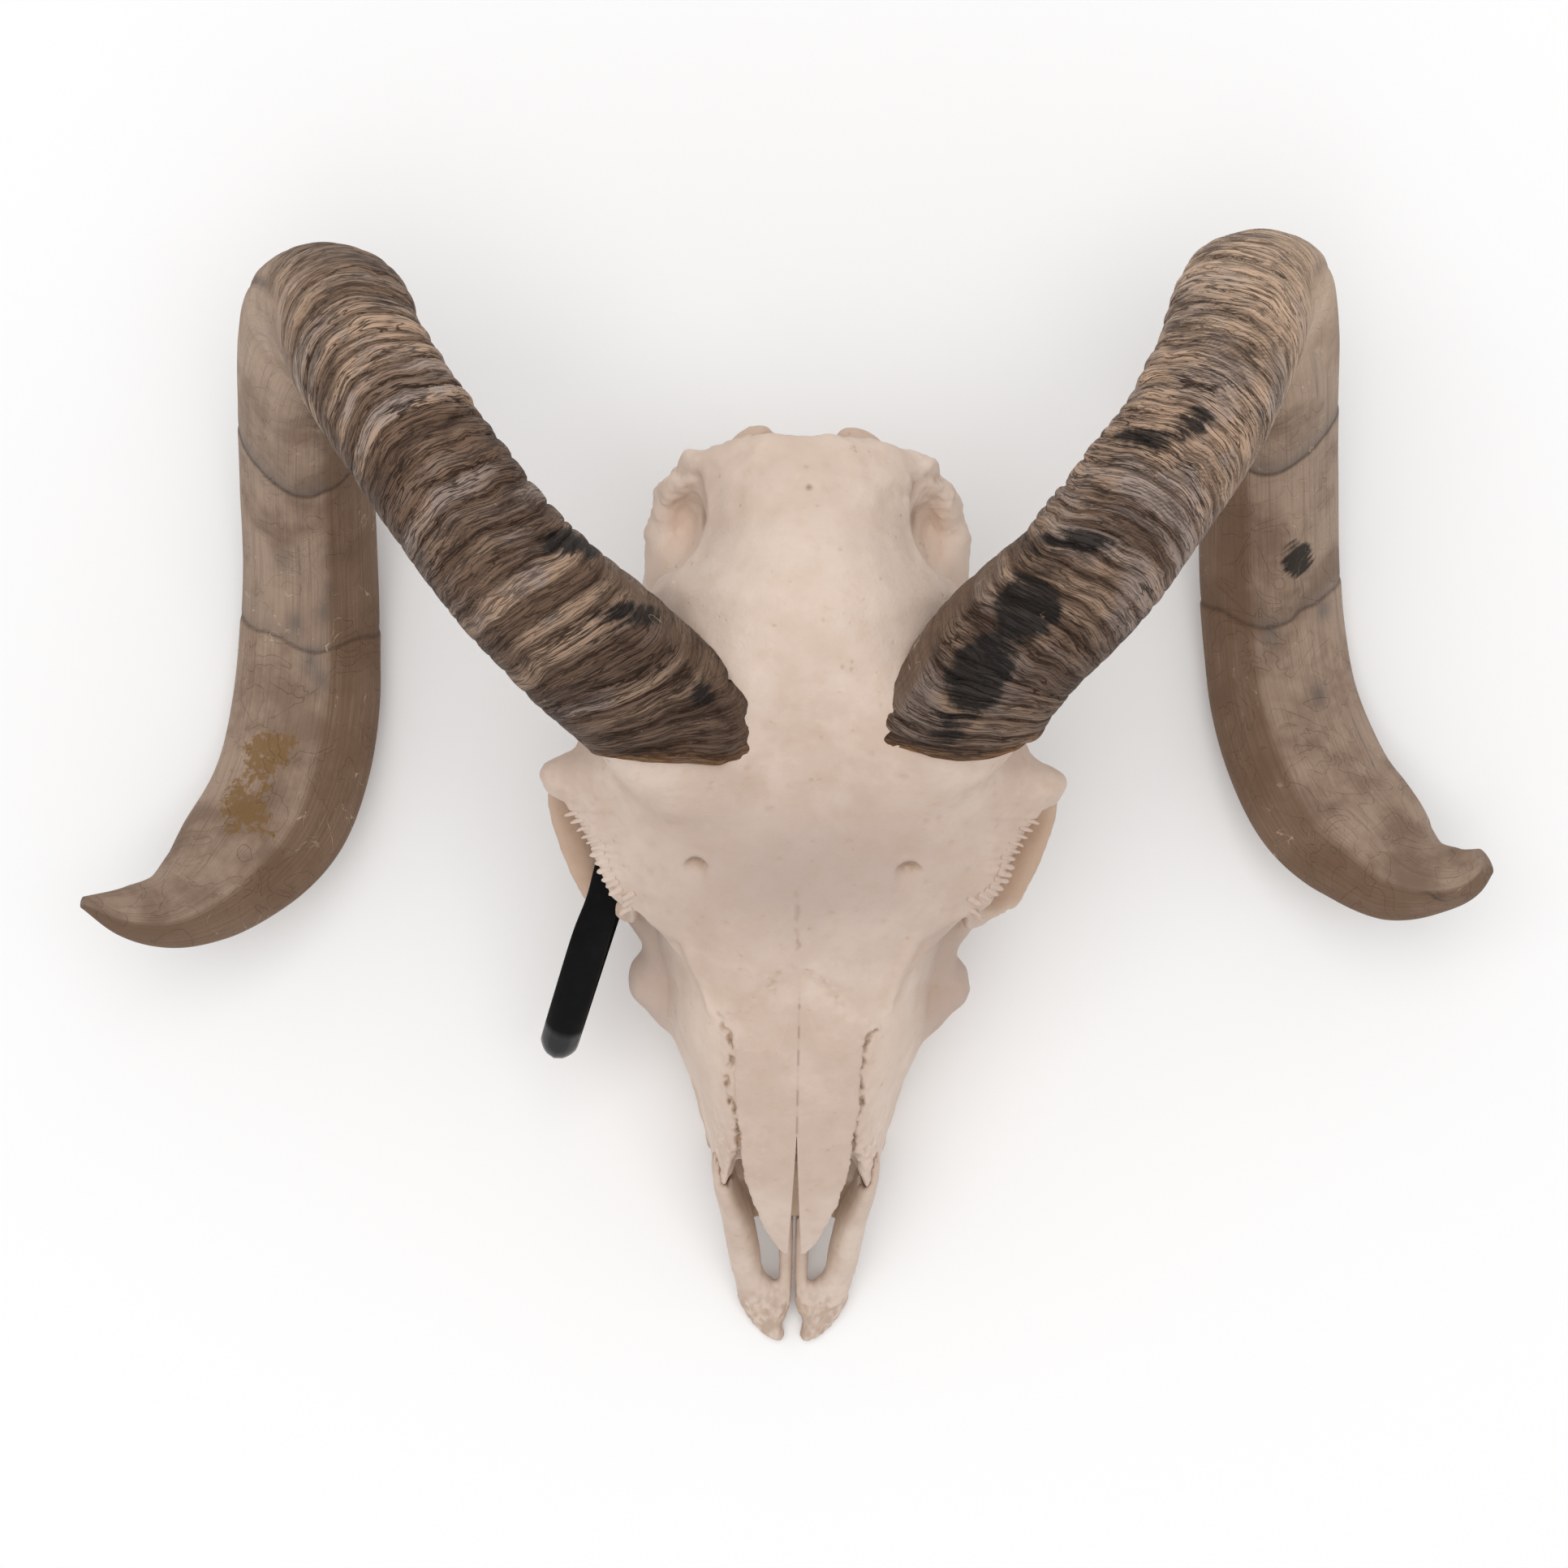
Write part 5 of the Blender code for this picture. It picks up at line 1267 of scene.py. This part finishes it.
def hornPiece(name, side):
    look = horns
    root = look["root"]
    table = look[name]
    length = byLength(table)[-1, 0]
    ridged = length * look["ridgedShare"]
    places = np.concatenate([np.linspace(root, ridged, look["ringsRidged"], endpoint=False),
                             np.linspace(ridged, length, look["ringsSmooth"])])
    turn = roundTurn(look["around"]) + math.pi
    ring = look["roundness"] * np.column_stack([np.cos(turn), np.sin(turn)])
    flow = np.column_stack([np.tile(ring, (len(places), 1)), np.repeat(places, len(turn))])
    relief, wound, paint = hornRelief(flow, np.tile(side * np.sin(turn), len(places)), length, side)
    narrow = smoothRows(byLength(table), flow[:, 2])[:, 4]
    relief *= np.clip(narrow / 16, 0.15, 1) / np.maximum(narrow, 6.0)
    relief = relief.reshape(len(places), -1)
    within = root + np.array((14, 6, 0.9, 0.1))  # the wall inside the rim, and how thick it is there
    walls = np.array((0.12, 0.11, 0.10, 0.05))[:, None]
    inner = hornRings(table, within, relief[np.searchsorted(places, within)] - walls)
    rings = np.concatenate([inner, hornRings(table, places, relief)])
    rings[:, :, 2] = np.maximum(rings[:, :, 2], 0.0)
    piece = skinOver(f"horn_sheath_{name}", rings)
    mesh = piece.data

    # The rings inside the rim take the first value of the outer face, and the two end points its last one.
    def spread(values):
        return np.concatenate([np.repeat(values[:1], within.size * len(turn), axis=0), values, values[-1:],
                               values[-1:]])

    points = pointsOf(mesh)
    keepNumber(mesh, "flow", spread(wound))
    # Dark spots, laid into the painted shade.
    smudge_and_shade = nearAny(points, [(x, y, 20) for x, y in look["dark_spots"][name]], (2.4, 3.6, 26))
    for key, values in paint.items():
        kept = spread(values)
        keepNumber(mesh, key, clamped(kept + 0.75 * smudge_and_shade) if key == "shade" else kept)
    keepNumber(mesh, "stain", marksAt(points, look["stains"][name], 34))
    keepNumber(mesh, "moss", marksAt(points, look["moss"][name], 30))
    keepNumber(mesh, "rim", clamped(1 - (spread(flow[:, 2]) - root) / 2.2))
    finishPiece(piece, "horn", f"horn_{name}")


for makePiece in (teethPiece, nasalPiece, frontJawPiece, hornPiece):
    for sideName, sideSign in bothSides:
        makePiece(sideName, sideSign)


# The black strap. It runs forwards and outwards from its crossing of the cheek bar. The loop is given by
# distance along the run, and height: out above, back below.
strap = {
    "crossing": (-52.3, -27.8),
    "run": (-0.298, -0.955),
    "loop": (
        (-13.0, 60.0), (-11.0, 69.0), (-5.0, 75.5), (3.0, 77.5), (13.0, 73.5), (32.0, 59.0), (45.0, 48.5),
        (51.0, 43.0), (49.0, 38.5), (42.0, 38.8), (26.0, 42.5), (8.0, 46.0), (-4.0, 47.0), (-11.0, 51.0),
    ),
    "width": 10.4,
    "bow": 3.6,             # how far the middle of the fold stands out before its edges
    "thickness": 1.4,
    "lean": math.radians(30),
    "leanPlace": (5.0, 10.0),
    "steps": 30,            # points between two corners of the loop
    "around": 64,
    "glossFrom": 43.5,
}


def strapPiece():
    look = strap
    knots = np.array(look["loop"])
    table = np.concatenate([knots[-3:], knots, knots[:4]])
    order = np.arange(len(table)) - 3.0
    path = smoothRows(np.column_stack([order, table]), np.arange(0, len(knots), 1 / look["steps"]))[:, 1:]
    ahead = unit(np.roll(path, -1, axis=0) - np.roll(path, 1, axis=0))
    normal = np.column_stack([-ahead[:, 1], ahead[:, 0]])
    runX, runY = look["run"]
    fold = clamped(path[:, :1] / path[:, 0].max()) ** 4
    middle, reach = look["leanPlace"]
    lean = look["lean"] * ramp(path[:, 1], 56, 12) * bell(path[:, 0] - middle, reach)
    sideways = np.outer(np.cos(lean), (-runY, runX, 0)) + np.outer(np.sin(lean), (0, 0, 1))
    turn = roundTurn(look["around"])
    across = squared(np.cos(turn), 0.36)
    out = squared(np.sin(turn), 0.8)
    line = path[:, None] + normal[:, None] * (out * look["thickness"] / 2)[None, :, None]
    line[:, :, 0] -= look["bow"] * fold * across**2
    rings = np.array((*look["crossing"], 0)) + line[:, :, :1] * (runX, runY, 0) + line[:, :, 1:] * (0, 0, 1)
    rings += sideways[:, None] * (across * look["width"] / 2)[None, :, None]
    piece = addPiece("plastic_strap", rings.reshape(-1, 3), gridFaces(*rings.shape[:2], closed=True))
    keepNumber(piece.data, "fold", np.repeat(ramp(path[:, 0], look["glossFrom"], 2.0), look["around"]))
    finishPiece(piece, "black_plastic", "strap")


strapPiece()
print("pieces made")


# The studio: a pale floor, a wide soft light overhead and an even white surround.
studio = {
    "floor": (0.95, 0.95, 0.95),
    "floorHalf": 6.0,
    "surround": 0.72,
    "overheadPower": 22.5,
    "overheadSize": 1.8,
    "overheadPlace": (-0.10, 0.15, 2.3),
    "aim": (0, 0, 0.1),
}


def studioSet():
    look = studio
    half = look["floorHalf"]
    mesh = bpy.data.meshes.new("floor")
    corners = [(-half, -half, 0), (half, -half, 0), (half, half, 0), (-half, half, 0)]
    mesh.from_pydata(corners, [], [(0, 1, 2, 3)])
    finish = Finish("floor paint", {}, {
        "Roughness": 0.9, "Specular IOR Level": 0.1, "Base Color": (*look["floor"], 1)})
    mesh.materials.append(finish.material)
    placed("floor", mesh)
    world = bpy.data.worlds.new("surround")
    world.use_nodes = True
    background = world.node_tree.nodes["Background"]
    background.inputs["Color"].default_value = (1, 1, 1, 1)
    background.inputs["Strength"].default_value = look["surround"]
    bpy.context.scene.world = world
    light = bpy.data.lights.new("overhead", "AREA")
    light.shape = "SQUARE"
    light.size = look["overheadSize"]
    light.energy = look["overheadPower"]
    lamp = placed("overhead", light)
    lamp.location = look["overheadPlace"]
    lamp.rotation_euler = (Vector(look["aim"]) - lamp.location).to_track_quat("-Z", "Y").to_euler()


# The camera looks straight down from the photo's distance.
view = {
    "place": (-5.1, 0.0, 1410.0),       # millimetres of the tables' place
    "subject": 1300.0,                  # distance at which a pixel of the photo is that wide
    "pixel": 0.2144,
    "photo": 1932,                      # pixels across
    "sensor": 36.0,
    "turn": math.radians(1.0),
}


def cameraSet():
    lens = bpy.data.cameras.new("camera")
    lens.sensor_width = view["sensor"]
    lens.lens = view["sensor"] * view["subject"] / (view["photo"] * view["pixel"])
    camera = placed("camera", lens)
    camera.location = ((np.array(view["place"]) + tableShift) * millimetre).tolist()
    camera.rotation_euler = Euler((0, 0, view["turn"]))
    bpy.context.scene.camera = camera
    bpy.context.scene.view_settings.view_transform = "Standard"


studioSet()
cameraSet()
